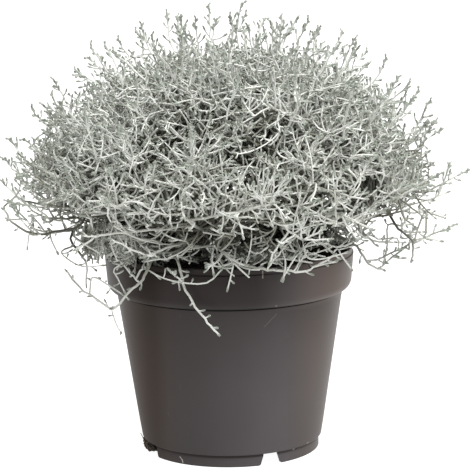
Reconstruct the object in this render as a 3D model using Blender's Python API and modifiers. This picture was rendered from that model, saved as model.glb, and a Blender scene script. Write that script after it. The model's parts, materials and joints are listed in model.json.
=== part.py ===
"""Potted cushion bush: silvery wiry shoots standing in peat in a round plastic nursery pot.

Units are metres and +Z is up. The origin is on the pot's axis at the surface that it stands on.
The front of the bush, with the longest shoots hanging over the rim, faces -Y.
"""
import math
import random

import bmesh
import bpy
import numpy as np
from mathutils import Matrix, Vector

# Pot
POT_HEIGHT = 0.1400
RIM_RADIUS = 0.0850
RIM_DRAFT = 0.0014
LIP_HEIGHT = 0.0044
LIP_STEP = 0.0009
BAND_HEIGHT = 0.0282
BAND_ROUNDING = 0.0065
BAND_UNDERCUT = 0.75
SHOULDER_RISE = 0.0040
SHOULDER_STEP = 0.0030
KNEE_DROP = 0.0010
BODY_TOP_RADIUS = 0.0775
BODY_BOTTOM_RADIUS = 0.0619
WALL = 0.0015
EDGE = 0.0005
FOOT_HEIGHT = 0.0084
FOOT_STEP = 0.0020
FLOOR_THICKNESS = 0.0020
POT_STEPS = 40
SHADE_ANGLE = math.radians(35)

# Notches between the pot's feet, and drain holes in its floor
NOTCH_COUNT = 4
NOTCH_FIRST_ANGLE = math.radians(25.6)
NOTCH_TOP_WIDTH = 0.0100
NOTCH_BOTTOM_WIDTH = 0.0152
NOTCH_ROOF = 0.0006
DRAIN_COUNT = 8
DRAIN_RADIUS = 0.0045
DRAIN_RING = 0.0515
DRAIN_SIDES = 12
CUT_MARGIN = 0.0010

# Soil
SOIL_TOP = 0.1270
SOIL_DISH = 0.0020
SOIL_FLAT_RADIUS = 0.0260
SOIL_SLOPE_RADIUS = 0.0550
SOIL_RIM_RADIUS = 0.0783
SOIL_STEPS = 36
FIT_GAP = 0.0003

# Bush
SPREAD = 0.1600
SPREAD_OFFSET = 0.0015
BUSH_TOP = 0.3065
BUSH_MIDDLE = 0.1665
DOME_RADIUS = 0.1550
DOME_RISE = 0.1280
DOME_DROP = 0.0340
LOWEST_TIP = 0.0785
CLEARANCE = 0.0005
POT_CLEARANCE = 0.0020
TEST_SHARES = (0.0, 0.25, 0.5, 0.75, 1.0)
ROOT_REACH = 0.0045

# Light that the twigs grow towards: up at the top of the dome, further out at its sides and lower edge
LIGHT_SPREAD = 0.78
LIGHT_LIFT = 0.85
LIGHT_FALL = 14.0
LIGHT_LEAST = 0.25

# Stems, from the upright one in the middle to the nearly level ones round the edge
SHOOT_COUNT = 16
SHOOT_SEED = 11
GOLDEN_ANGLE = math.pi * (3 - math.sqrt(5))
TURN_STRAY = 0.12
STEM_RADIUS = 0.0015
STEM_TIP_RADIUS = 0.0010
STEM_POINTS = 6
STEM_HOLE_DEPTH = 0.0180
STEM_HOLE_SIDES = 6
STEM_NECK = 0.0040
STEM_RINGS = (0.010, 0.044)
STEM_RISES = (0.99, -0.03)
STEM_REACHES = (0.70, 0.78)
STEM_BEND = 0.45
STEM_BEND_RISE = 0.62
STEM_ARCH = 0.010
STEM_STRAY = 0.002

# Boughs
BOUGHS_PER_SHOOT = 7
BOUGH_RADIUS = 0.0010
BOUGH_TIP_RADIUS = 0.0008
BOUGH_POINTS = 4
BOUGH_CHOICES = 40
BOUGH_LENGTHS = (0.040, 0.072)
BOUGH_ANGLES = (38, 80)
BOUGH_LOWEST = 0.45
BOUGH_REACH = (0.60, 0.92)
BOUGH_ROOM = 0.06
BOUGH_CURL = 0.16
BOUGH_WANDER = 0.18

# Twigs inside the dome, and leaders that stand out of its surface
TWIG = {"count": 24, "lengths": (0.014, 0.028), "lean": 0.30, "reach": (0.45, 0.95), "rise": -0.08}
LEADER = {"count": 10, "lengths": (0.020, 0.034), "lean": 1.8, "reach": (0.98, 1.03), "rise": 0.055}
TWIG_ROOT_RADIUS = 0.00050
TWIG_TIP_RADIUS = 0.00090
TWIG_SIDES = 3
TWIG_CHOICES = 24
TWIG_ANGLES = (35, 80)
TWIG_LEAST_ANGLE = math.radians(30)
TWIG_LOWEST = 0.25
TWIG_OUTWARD = 0.016
TWIG_BOUGH_SHARE = 2
SHOOT_SHADE_ANGLE = math.radians(50)

# Places on a stem where a hanging bough may start
HANGING_ROOTS = (0.5, 0.6, 0.7, 0.8, 0.9)

# Routes of the boughs that hang over the rim: (azimuth in degrees from the front, radius, height)
HANGING = (
    ((-29, 0.076, 0.149), (-21, 0.090, 0.145), (-19, 0.091, 0.131), (-14, 0.092, 0.117), (-9, 0.093, 0.107),
     (-4, 0.094, 0.098)),
    ((-36, 0.076, 0.150), (-34, 0.091, 0.143), (-37, 0.094, 0.132), (-44, 0.095, 0.123), (-52, 0.098, 0.110),
     (-58, 0.104, 0.116), (-67, 0.109, 0.121), (-68, 0.118, 0.134)),
    ((-58, 0.113, 0.168), (-67, 0.126, 0.160), (-73, 0.137, 0.158), (-78, 0.148, 0.164), (-79, 0.153, 0.174)),
    ((-72, 0.110, 0.157), (-72, 0.105, 0.143), (-72, 0.101, 0.134), (-72, 0.101, 0.118)),
    ((5, 0.080, 0.147), (8, 0.089, 0.143), (16, 0.090, 0.140), (25, 0.090, 0.138), (32, 0.090, 0.136),
     (40, 0.090, 0.139), (51, 0.091, 0.144)),
    ((68, 0.118, 0.162), (71, 0.127, 0.151), (72, 0.129, 0.144), (73, 0.127, 0.133)),
    ((71, 0.078, 0.150), (73, 0.090, 0.143), (74, 0.094, 0.136), (74, 0.099, 0.130), (75, 0.109, 0.126)),
    ((150, 0.078, 0.154), (152, 0.092, 0.145), (154, 0.099, 0.127), (156, 0.101, 0.106)),
    ((-140, 0.078, 0.154), (-143, 0.093, 0.145), (-146, 0.100, 0.129), (-148, 0.104, 0.110)),
)


def clear_scene():
    """Removes every object that the scene starts with."""
    for thing in list(bpy.data.objects):
        bpy.data.objects.remove(thing, do_unlink=True)


def make_material(name, colour, roughness, metallic=0.0):
    """Returns a Principled material with one colour."""
    material = bpy.data.materials.new(name)
    material.use_nodes = True
    shader = material.node_tree.nodes["Principled BSDF"]
    shader.inputs["Base Color"].default_value = (*colour, 1.0)
    shader.inputs["Roughness"].default_value = roughness
    shader.inputs["Metallic"].default_value = metallic
    return material


def make_collection(name):
    """Returns a new collection in the scene."""
    collection = bpy.data.collections.new(name)
    bpy.context.scene.collection.children.link(collection)
    return collection


def add_object(name, mesh, collection, material=None):
    """Returns a new object with the mesh, in the collection."""
    thing = bpy.data.objects.new(name, mesh)
    collection.objects.link(thing)
    if material:
        mesh.materials.append(material)
    return thing


def add_cutter(name, mesh, cutters):
    """Returns a wire object that only cuts others."""
    cutter = add_object(name, mesh, cutters)
    cutter.hide_render = True
    cutter.display_type = "WIRE"
    return cutter


def shade_round(mesh, angle=SHADE_ANGLE):
    """Shades the mesh smooth, with its corners kept sharp."""
    mesh.shade_smooth()
    mesh.set_sharp_from_angle(angle=angle)


def profile_mesh(name, points):
    """Returns an open line of (radius, height) points in the XZ plane."""
    mesh = bpy.data.meshes.new(name)
    edges = [(index, index + 1) for index in range(len(points) - 1)]
    mesh.from_pydata([(radius, 0.0, height) for radius, height in points], edges, [])
    return mesh


def turn(thing, steps):
    """Turns an object's profile about Z."""
    screw = thing.modifiers.new("turn", "SCREW")
    screw.steps = steps
    screw.render_steps = steps
    screw.use_merge_vertices = True
    screw.merge_threshold = 0.0001
    return screw


def cut(thing, cutters):
    """Takes a collection's shapes out of an object."""
    boolean = thing.modifiers.new("cut", "BOOLEAN")
    boolean.operation = "DIFFERENCE"
    boolean.operand_type = "COLLECTION"
    boolean.collection = cutters
    return boolean


def apply_modifiers(thing):
    """Keeps the evaluated mesh of an object as its own mesh."""
    depsgraph = bpy.context.evaluated_depsgraph_get()
    mesh = bpy.data.meshes.new_from_object(thing.evaluated_get(depsgraph))
    old = thing.data
    thing.modifiers.clear()
    thing.data = mesh
    mesh.name = thing.name
    bpy.data.meshes.remove(old)


def from_front(azimuth, radius, height):
    """Returns a point from its azimuth, measured from -Y towards +X."""
    return Vector((radius * math.sin(azimuth), -radius * math.cos(azimuth), height))


def body_radius(height):
    """Returns the outer radius of the pot's tapered body at a height."""
    share = (height - FOOT_HEIGHT) / (POT_HEIGHT - BAND_HEIGHT - FOOT_HEIGHT)
    return BODY_BOTTOM_RADIUS + share * (BODY_TOP_RADIUS - BODY_BOTTOM_RADIUS)


def soil_radius(height):
    """Returns the radius of the soil, just inside the pot's wall, at a height."""
    return body_radius(height) - WALL - FIT_GAP


def build_pot(collection, material, cutters):
    """Builds the pot: tapered body, wide rim band with a lip, raised floor and a notched foot."""
    floor_top = FOOT_HEIGHT + FLOOR_THICKNESS
    band_bottom = POT_HEIGHT - BAND_HEIGHT
    band_top = POT_HEIGHT - LIP_HEIGHT
    lip_radius = RIM_RADIUS - LIP_STEP
    band_bottom_radius = RIM_RADIUS - RIM_DRAFT
    foot_radius = BODY_BOTTOM_RADIUS - FOOT_STEP
    corner = [math.radians(angle) for angle in (0, 30, 60, 90)]
    rounding = [(band_bottom_radius - BAND_ROUNDING * BAND_UNDERCUT * (1 - math.cos(angle)),
                 band_bottom + BAND_ROUNDING * (1 - math.sin(angle))) for angle in corner]
    profile = [
        (0.0, floor_top),
        (body_radius(floor_top) - WALL, floor_top),
        (BODY_TOP_RADIUS - WALL, band_bottom - KNEE_DROP),
        (band_bottom_radius - WALL - SHOULDER_STEP, band_bottom + SHOULDER_RISE),
        (lip_radius - WALL, band_top - LIP_HEIGHT / 2),
        (lip_radius - WALL, POT_HEIGHT - EDGE),
        (lip_radius - WALL + EDGE, POT_HEIGHT),
        (lip_radius - EDGE, POT_HEIGHT),
        (lip_radius, POT_HEIGHT - EDGE),
        (lip_radius, band_top),
        (RIM_RADIUS, band_top - EDGE),
        *rounding,
        (BODY_TOP_RADIUS, band_bottom - EDGE),
        (BODY_BOTTOM_RADIUS, FOOT_HEIGHT),
        (foot_radius, FOOT_HEIGHT - EDGE),
        (foot_radius, 0.0),
        (foot_radius - WALL, 0.0),
        (foot_radius - WALL, FOOT_HEIGHT),
        (0.0, FOOT_HEIGHT),
    ]
    pot = add_object("pot", profile_mesh("pot", profile), collection, material)
    turn(pot, POT_STEPS)
    add_notch_cutters(cutters, foot_radius)
    add_hole_cutters(cutters)
    cut(pot, cutters)
    apply_modifiers(pot)
    shade_round(pot.data)
    return pot


def add_notch_cutters(cutters, foot_radius):
    """Adds the wedge shaped gaps between the pot's feet."""
    reach = 2 * WALL
    for index in range(NOTCH_COUNT):
        angle = NOTCH_FIRST_ANGLE + index * 2 * math.pi / NOTCH_COUNT
        mesh = bpy.data.meshes.new(f"notch_{index + 1}")
        shape = bmesh.new()
        bmesh.ops.create_cube(shape, size=1.0)
        for vert in shape.verts:
            top = vert.co.z > 0
            width = NOTCH_TOP_WIDTH if top else NOTCH_BOTTOM_WIDTH
            vert.co.x = math.copysign(width / 2, vert.co.x)
            vert.co.y = -(foot_radius - WALL / 2) + math.copysign(reach, vert.co.y)
            vert.co.z = FOOT_HEIGHT - NOTCH_ROOF if top else -CUT_MARGIN
        shape.transform(Matrix.Rotation(angle, 4, "Z"))
        shape.to_mesh(mesh)
        shape.free()
        add_cutter(f"notch_{index + 1}", mesh, cutters)


def add_hole_cutters(cutters):
    """Adds the ring of drain holes in the floor, one of them behind each notch."""
    middle = FOOT_HEIGHT + FLOOR_THICKNESS / 2
    for index in range(DRAIN_COUNT):
        angle = NOTCH_FIRST_ANGLE + index * 2 * math.pi / DRAIN_COUNT
        mesh = bpy.data.meshes.new(f"drain_{index + 1}")
        shape = bmesh.new()
        bmesh.ops.create_cone(shape, cap_ends=True, segments=DRAIN_SIDES, radius1=DRAIN_RADIUS,
                              radius2=DRAIN_RADIUS, depth=4 * FLOOR_THICKNESS)
        shape.transform(Matrix.Translation(from_front(angle, DRAIN_RING, middle)))
        shape.to_mesh(mesh)
        shape.free()
        add_cutter(f"drain_{index + 1}", mesh, cutters)


def build_soil(collection, material, cutters, stem_feet):
    """Builds the block of peat, with a plain hole for each stem."""
    bottom = FOOT_HEIGHT + FLOOR_THICKNESS + FIT_GAP
    side_top = SOIL_TOP - SOIL_DISH
    knee = POT_HEIGHT - BAND_HEIGHT - KNEE_DROP
    profile = [
        (0.0, SOIL_TOP),
        (SOIL_FLAT_RADIUS, SOIL_TOP),
        (SOIL_SLOPE_RADIUS, SOIL_TOP - SOIL_DISH / 2),
        (SOIL_RIM_RADIUS, side_top),
        (soil_radius(knee), knee),
        (soil_radius(bottom), bottom),
        (0.0, bottom),
    ]
    soil = add_object("soil", profile_mesh("soil", profile), collection, material)
    turn(soil, SOIL_STEPS)
    hole_radius = (STEM_RADIUS + FIT_GAP) / math.cos(math.pi / STEM_HOLE_SIDES)
    for index, foot in enumerate(stem_feet):
        mesh = bpy.data.meshes.new(f"stem_hole_{index + 1}")
        shape = bmesh.new()
        bmesh.ops.create_cone(shape, cap_ends=True, segments=STEM_HOLE_SIDES, radius1=hole_radius,
                              radius2=hole_radius, depth=2 * STEM_HOLE_DEPTH)
        shape.transform(Matrix.Translation((foot.x, foot.y, SOIL_TOP + FIT_GAP)))
        shape.to_mesh(mesh)
        shape.free()
        add_cutter(f"stem_hole_{index + 1}", mesh, cutters)
    cut(soil, cutters)
    apply_modifiers(soil)
    shade_round(soil.data)
    return soil


class Growth:
    """Keeps every straight piece grown so far, and tests whether a new one is clear of them."""

    def __init__(self):
        self.starts = []
        self.ends = []
        self.radii = []
        self.tips = []

    def add(self, points, radius):
        """Records the straight pieces of a grown line."""
        for start, end in zip(points, points[1:]):
            self.starts.append(tuple(start))
            self.ends.append(tuple(end))
            self.radii.append(radius)
        self.tips.append(tuple(points[-1]))

    def is_clear(self, start, end, radius):
        """Tells whether a straight piece stays off the pot, the soil and all that has grown."""
        for share in TEST_SHARES:
            if hits_pot(start.lerp(end, share), radius):
                return False
        if not self.starts:
            return True
        gaps = piece_distances(np.array(start), np.array(end), np.array(self.starts), np.array(self.ends))
        return bool(np.all(gaps > np.array(self.radii) + radius + CLEARANCE))

    def room_at(self, point):
        """Returns the distance from a point to the nearest tip."""
        if not self.tips:
            return 1.0
        return float(np.sqrt(np.min(np.sum((np.array(self.tips) - np.array(point)) ** 2, axis=1))))


def piece_distances(start, end, starts, ends):
    """Returns the distance of one straight piece to each of many."""
    along = end - start
    others = ends - starts
    between = start - starts
    length = along @ along
    lengths = np.einsum("ij,ij->i", others, others)
    shift = np.einsum("ij,ij->i", others, between)
    base = between @ along
    cross = others @ along
    spread = np.maximum(length * lengths - cross * cross, 1e-18)
    here = np.clip((cross * shift - base * lengths) / spread, 0.0, 1.0)
    there = np.clip((cross * here + shift) / lengths, 0.0, 1.0)
    here = np.clip((cross * there - base) / length, 0.0, 1.0)
    gap = (start + here[:, None] * along) - (starts + there[:, None] * others)
    return np.sqrt(np.einsum("ij,ij->i", gap, gap))


def hits_pot(point, radius):
    """Tells whether a point of a twig comes too near to the pot or the soil."""
    margin = radius + POT_CLEARANCE
    from_axis = math.hypot(point.x, point.y)
    if point.z > POT_HEIGHT + margin:
        return False
    if point.z < LOWEST_TIP:
        return True
    if from_axis > RIM_RADIUS + margin:
        return False
    return from_axis > BODY_TOP_RADIUS - margin or point.z < SOIL_TOP + margin


def fullness(point):
    """Returns how far out a point lies in the dome: 0 at its middle, 1 on its surface."""
    across = math.hypot(point.x - SPREAD_OFFSET, point.y) / DOME_RADIUS
    height = point.z - BUSH_MIDDLE
    up = height / (DOME_RISE if height > 0 else DOME_DROP)
    return math.hypot(across, up)


def lightward(point):
    """Returns the direction in which twigs grow towards the light from a point."""
    across = Vector((point.x - SPREAD_OFFSET, point.y, 0.0)) / DOME_RADIUS
    below = max(BUSH_MIDDLE - point.z, 0.0)
    lift = max(LIGHT_LIFT - below * LIGHT_FALL, LIGHT_LEAST)
    return (across * LIGHT_SPREAD + Vector((0.0, 0.0, lift))).normalized()


def random_side(rng, axis, angles):
    """Returns a direction turned at random about the axis, at an angle within the range in degrees."""
    angle = math.radians(rng.uniform(*angles))
    side = axis.orthogonal().normalized()
    side.rotate(Matrix.Rotation(rng.uniform(0, math.tau), 3, axis))
    return (axis * math.cos(angle) + side * math.sin(angle)).normalized()


def blend(pair, share):
    """Returns the value at a share of the way from the first of a pair to the second."""
    return pair[0] + share * (pair[1] - pair[0])


def stem_route(index, rng):
    """Returns the points of a main stem, from its foot in the soil to its end inside the dome."""
    share = (index + 0.5) / SHOOT_COUNT
    rise = math.asin(blend(STEM_RISES, share))
    azimuth = index * GOLDEN_ANGLE + rng.uniform(-TURN_STRAY, TURN_STRAY)
    ring = blend(STEM_RINGS, math.sqrt(share))
    foot = from_front(azimuth, ring, SOIL_TOP - STEM_HOLE_DEPTH + FIT_GAP)
    neck = from_front(azimuth, ring, SOIL_TOP + STEM_NECK)
    reach = rng.uniform(*STEM_REACHES)
    height = BUSH_MIDDLE + DOME_RISE * reach * math.sin(rise)
    end = from_front(azimuth, DOME_RADIUS * reach * math.cos(rise), height)
    end.x += SPREAD_OFFSET
    bend = neck.lerp(end, STEM_BEND)
    bend.z = neck.z + STEM_BEND_RISE * (end.z - neck.z) + STEM_ARCH
    points = [foot]
    last = STEM_POINTS - 2
    for step in range(last + 1):
        t = step / last
        point = neck * (1 - t) ** 2 + bend * 2 * t * (1 - t) + end * t ** 2
        if 0 < step < last:
            point += Vector([rng.uniform(-STEM_STRAY, STEM_STRAY) for _ in range(3)])
        points.append(point)
    return points


def point_on(points, share):
    """Returns a place along a line of points, and the direction there."""
    spot = share * (len(points) - 1)
    index = min(int(spot), len(points) - 2)
    start, end = points[index], points[index + 1]
    return start.lerp(end, spot - index), (end - start).normalized()


def grow_bough(rng, growth, stem):
    """Returns a curling line of points from a place on the stem, or None where something is in its way."""
    root, along = point_on(stem, rng.uniform(BOUGH_LOWEST, 1.0))
    heading = random_side(rng, along, BOUGH_ANGLES)
    step = rng.uniform(*BOUGH_LENGTHS) / (BOUGH_POINTS - 1)
    points = [root]
    for index in range(BOUGH_POINTS - 1):
        end = points[-1] + heading * step
        start = points[-1] if index else points[-1] + heading * ROOT_REACH
        if not growth.is_clear(start, end, BOUGH_RADIUS):
            return None
        points.append(end)
        wander = Vector([rng.uniform(-BOUGH_WANDER, BOUGH_WANDER) for _ in range(3)])
        heading = (heading + lightward(end) * BOUGH_CURL + wander).normalized()
    return points


def grow_boughs(rng, growth, stem):
    """Returns the boughs of one stem, each set where the dome is emptiest."""
    boughs = []
    nearest, furthest = BOUGH_REACH
    for _ in range(BOUGHS_PER_SHOOT):
        best, best_room = None, 0.0
        for _ in range(BOUGH_CHOICES):
            line = grow_bough(rng, growth, stem)
            if line is None or not nearest < fullness(line[-1]) < furthest:
                continue
            room = min(growth.room_at(line[-1]), BOUGH_ROOM) + BOUGH_ROOM * fullness(line[-1])
            if room > best_room:
                best, best_room = line, room
        if best:
            growth.add(best, BOUGH_RADIUS)
            boughs.append(best)
    return boughs


def grow_twig(rng, growth, lines, kind):
    """Returns one new twig or leader on any of the lines, set where there is most room, or None."""
    nearest, furthest = kind["reach"]
    best, best_room = None, 0.0
    for _ in range(TWIG_CHOICES):
        root, along = point_on(rng.choice(lines), rng.uniform(TWIG_LOWEST, 1.0))
        direction = random_side(rng, along, TWIG_ANGLES)
        direction = (direction + lightward(root) * kind["lean"]).normalized()
        if direction.angle(along) < TWIG_LEAST_ANGLE:
            continue
        end = root + direction * rng.uniform(*kind["lengths"])
        rise = kind["rise"] * max(end.z - BUSH_MIDDLE, 0.0) / DOME_RISE
        if not nearest + rise < fullness(end) < furthest + rise:
            continue
        room = growth.room_at(end) + TWIG_OUTWARD * fullness(end)
        if room <= best_room:
            continue
        if growth.is_clear(root + direction * ROOT_REACH, end, TWIG_TIP_RADIUS):
            best, best_room = [root, end], room
    if best:
        growth.add(best, TWIG_TIP_RADIUS)
    return best


def add_hanging_boughs(growth, shoots):
    """Adds the boughs that lean out over the rim and hang, each from the stem nearest to it."""
    for route in HANGING:
        line = [from_front(math.radians(azimuth), radius, height) for azimuth, radius, height in route]
        nearest = None
        for shoot in shoots:
            for share in HANGING_ROOTS:
                root, _ = point_on(shoot["stem"], share)
                gap = (root - line[0]).length
                if nearest is None or gap < nearest[0]:
                    nearest = (gap, root, shoot)
        line = [nearest[1]] + line
        growth.add(line, BOUGH_RADIUS)
        nearest[2]["boughs"].append(line)


def grow_bush():
    """Returns each shoot as a main stem, its boughs and its twigs, all clear of each other."""
    rng = random.Random(SHOOT_SEED)
    growth = Growth()
    shoots = []
    for index in range(SHOOT_COUNT):
        stem = stem_route(index, rng)
        growth.add(stem, STEM_RADIUS)
        shoots.append({"stem": stem, "boughs": [], "twigs": []})
    add_hanging_boughs(growth, shoots)
    for shoot in reversed(shoots):
        shoot["boughs"] += grow_boughs(rng, growth, shoot["stem"])
    for kind in (TWIG, LEADER):
        for _ in range(kind["count"]):
            for shoot in shoots:
                lines = [shoot["stem"][2:]] + shoot["boughs"] * TWIG_BOUGH_SHARE
                twig = grow_twig(rng, growth, lines, kind)
                if twig:
                    shoot["twigs"].append(twig)
    reach_spread(shoots)
    return shoots


def reach_spread(shoots):
    """Moves the furthest tip on each side, and the highest one, out to the stated size."""
    twigs = [twig for shoot in shoots for twig in shoot["twigs"]]
    sides = ((0, SPREAD + SPREAD_OFFSET), (0, SPREAD_OFFSET - SPREAD), (1, SPREAD), (1, -SPREAD))
    for axis, target in (*sides, (2, BUSH_TOP)):
        sign = math.copysign(1, target)
        furthest = max(twigs, key=lambda twig: twig[-1][axis] * sign)
        furthest[-1][axis] = target


def tube_object(name, points, radius, tip_radius, resolution):
    """Returns a welded mesh object of a tube that narrows along its points."""
    curve = bpy.data.curves.new(name, "CURVE")
    curve.dimensions = "3D"
    curve.bevel_depth = radius
    curve.bevel_resolution = resolution
    curve.use_fill_caps = True
    spline = curve.splines.new("POLY")
    spline.points.add(len(points) - 1)
    for index, point in enumerate(points):
        share = index / (len(points) - 1)
        spline.points[index].co = (*point, 1.0)
        spline.points[index].radius = 1 + share * (tip_radius / radius - 1)
    holder = bpy.data.objects.new(name, curve)
    bpy.context.scene.collection.objects.link(holder)
    depsgraph = bpy.context.evaluated_depsgraph_get()
    mesh = bpy.data.meshes.new_from_object(holder.evaluated_get(depsgraph))
    matrix = holder.matrix_world.copy()
    bpy.data.objects.remove(holder)
    bpy.data.curves.remove(curve)
    shape = bmesh.new()
    shape.from_mesh(mesh)
    bmesh.ops.remove_doubles(shape, verts=shape.verts, dist=1e-6)
    bmesh.ops.recalc_face_normals(shape, faces=shape.faces)
    shape.to_mesh(mesh)
    shape.free()
    tube = bpy.data.objects.new(name, mesh)
    tube.matrix_world = matrix
    return tube


def needle_object(name, root, end):
    """Returns a slim three sided twig from its root to its end."""
    mesh = bpy.data.meshes.new(name)
    shape = bmesh.new()
    bmesh.ops.create_cone(shape, cap_ends=True, segments=TWIG_SIDES, radius1=TWIG_ROOT_RADIUS,
                          radius2=TWIG_TIP_RADIUS, depth=(end - root).length)
    turned = (end - root).to_track_quat("Z", "Y").to_matrix().to_4x4()
    shape.transform(Matrix.Translation((root + end) / 2) @ turned)
    shape.to_mesh(mesh)
    shape.free()
    return bpy.data.objects.new(name, mesh)


def build_shoot(number, shoot, collection, material):
    """Builds one shoot: its stem, boughs and twigs, joined into one body."""
    name = f"shoot_{number:02d}"
    stem = tube_object(name, shoot["stem"], STEM_RADIUS, STEM_TIP_RADIUS, 1)
    collection.objects.link(stem)
    stem.data.materials.append(material)
    twigs = make_collection(name + "_twigs")
    for index, line in enumerate(shoot["boughs"]):
        bough = tube_object(f"{name}_bough_{index + 1}", line, BOUGH_RADIUS, BOUGH_TIP_RADIUS, 0)
        twigs.objects.link(bough)
    for index, (root, end) in enumerate(shoot["twigs"]):
        twigs.objects.link(needle_object(f"{name}_twig_{index + 1}", root, end))
    join = stem.modifiers.new("join", "BOOLEAN")
    join.operation = "UNION"
    join.operand_type = "COLLECTION"
    join.collection = twigs
    apply_modifiers(stem)
    for thing in list(twigs.objects):
        bpy.data.objects.remove(thing, do_unlink=True)
    bpy.data.collections.remove(twigs)
    shade_round(stem.data, SHOOT_SHADE_ANGLE)
    return stem


def main():
    """Builds the potted bush."""
    clear_scene()
    bush = make_collection("potted_cushion_bush")
    pot_cutters = make_collection("pot_cutters")
    soil_cutters = make_collection("soil_cutters")
    plastic = make_material("taupe_plastic", (0.085, 0.073, 0.071), 0.45)
    peat = make_material("peat", (0.018, 0.013, 0.009), 0.95)
    felt = make_material("silver_felt", (0.55, 0.56, 0.50), 0.85)
    shoots = grow_bush()
    build_pot(bush, plastic, pot_cutters)
    build_soil(bush, peat, soil_cutters, [shoot["stem"][0] for shoot in shoots])
    for index, shoot in enumerate(shoots):
        build_shoot(index + 1, shoot, bush, felt)


main()
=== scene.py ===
import json
import math
import random

import bmesh
import bpy
import numpy as np
from mathutils import Matrix, Vector, noise

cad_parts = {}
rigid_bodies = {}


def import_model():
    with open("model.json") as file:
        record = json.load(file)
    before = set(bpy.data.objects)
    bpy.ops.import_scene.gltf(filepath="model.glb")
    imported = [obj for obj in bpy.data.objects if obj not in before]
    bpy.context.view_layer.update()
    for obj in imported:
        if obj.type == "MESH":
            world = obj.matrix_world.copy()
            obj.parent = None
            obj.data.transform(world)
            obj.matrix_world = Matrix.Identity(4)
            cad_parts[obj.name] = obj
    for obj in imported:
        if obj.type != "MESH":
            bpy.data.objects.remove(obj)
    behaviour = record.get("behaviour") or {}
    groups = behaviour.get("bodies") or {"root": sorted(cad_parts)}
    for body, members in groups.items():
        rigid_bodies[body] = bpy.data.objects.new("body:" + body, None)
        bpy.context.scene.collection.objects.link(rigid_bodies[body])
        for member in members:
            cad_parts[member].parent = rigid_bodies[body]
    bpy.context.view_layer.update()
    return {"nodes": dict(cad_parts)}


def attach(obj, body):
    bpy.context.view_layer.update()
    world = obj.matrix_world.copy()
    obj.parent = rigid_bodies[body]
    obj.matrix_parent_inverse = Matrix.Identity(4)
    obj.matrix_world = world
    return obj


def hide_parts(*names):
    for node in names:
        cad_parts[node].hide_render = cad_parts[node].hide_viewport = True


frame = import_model()
print("frame loaded:", len(frame["nodes"]), "nodes")

goldenAngle = math.pi * (3 - math.sqrt(5))
weldGap = 1e-6


# Shader sockets and nodes

class Wire:
    # A shader socket that does sums. Each sum adds its own Math node.
    def __init__(self, paint, socket):
        self.paint = paint
        self.socket = socket

    def sum(self, operation, first, second):
        return self.paint.node("ShaderNodeMath", {"operation": operation},
                               {"Value": first, "Value_001": second})

    def __add__(self, other):
        return self.sum("ADD", self, other)

    def __radd__(self, other):
        return self.sum("ADD", other, self)

    def __sub__(self, other):
        return self.sum("SUBTRACT", self, other)

    def __rsub__(self, other):
        return self.sum("SUBTRACT", other, self)

    def __mul__(self, other):
        return self.sum("MULTIPLY", self, other)

    def __truediv__(self, other):
        return self.sum("DIVIDE", self, other)

    def __pow__(self, other):
        return self.sum("POWER", self, other)


class Paint:
    # A material with its Principled shader, and one way to add any other node.
    def __init__(self, name, roughness):
        self.material = bpy.data.materials.new(name)
        self.material.use_nodes = True
        self.tree = self.material.node_tree
        self.shader = self.tree.nodes["Principled BSDF"]
        self.shader.inputs["Roughness"].default_value = roughness

    def node(self, kind, settings, values, output=0):
        made = self.tree.nodes.new(kind)
        for key, value in settings.items():
            if key == "stops":
                self.setStops(made.color_ramp, value)
            else:
                setattr(made, key, value)
        for key, value in values.items():
            socket = next(one for one in made.inputs if one.identifier == key)
            if isinstance(value, Wire):
                self.tree.links.new(value.socket, socket)
            else:
                socket.default_value = value
        return Wire(self, made.outputs[output])

    def setStops(self, ramp, stops):
        while len(ramp.elements) < len(stops):
            ramp.elements.new(0.5)
        for element, (place, colour) in zip(ramp.elements, stops):
            element.position = place
            element.color = (*colour, 1.0)

    def set(self, name, value):
        if isinstance(value, Wire):
            self.tree.links.new(value.socket, self.shader.inputs[name])
        else:
            self.shader.inputs[name].default_value = value

    def place(self):
        return self.node("ShaderNodeTexCoord", {}, {}, 3)

    def speckle(self, vector, scale, detail=2.0, rough=0.5):
        return self.node("ShaderNodeTexNoise", {}, {"Vector": vector, "Scale": scale, "Detail": detail,
                                                    "Roughness": rough})

    def ramp(self, value, stops):
        return self.node("ShaderNodeValToRGB", {"stops": stops}, {"Fac": value})

    def span(self, value, low, high, lowOut=0.0, highOut=1.0):
        return self.node("ShaderNodeMapRange", {"clamp": True}, {
            "Value": value, "From Min": low, "From Max": high, "To Min": lowOut, "To Max": highOut})

    def between(self, value, start, full, fading, end):
        # 1 between two soft edges, 0 beyond them.
        return self.span(value, start, full) * self.span(value, fading, end, 1.0, 0.0)

    def mix(self, factor, first, second):
        return self.node("ShaderNodeMix", {"data_type": "RGBA"},
                         {"Factor_Float": factor, "A_Color": first, "B_Color": second}, 2)

    def bump(self, height, strength, distance):
        return self.node("ShaderNodeBump", {}, {"Height": height, "Strength": strength, "Distance": distance})


def tint(red, green, blue):
    return (red, green, blue, 1.0)


def greys(*stops):
    # The stops of a ramp without colour, from pairs of place and brightness.
    return [(place, (bright, bright, bright)) for place, bright in stops]


# Finished pieces

def finishPiece(name, mesh, nodes, material):
    piece = bpy.data.objects.new(name, mesh)
    bpy.context.scene.collection.objects.link(piece)
    mesh.materials.clear()
    mesh.materials.append(material)
    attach(piece, "root")
    if nodes:
        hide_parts(*nodes)


def meshFrom(shape, name, smooth=True, angle=35):
    mesh = bpy.data.meshes.new(name)
    shape.to_mesh(mesh)
    shape.free()
    if smooth:
        mesh.shade_smooth()
        mesh.set_sharp_from_angle(angle=math.radians(angle))
    return mesh


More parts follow.
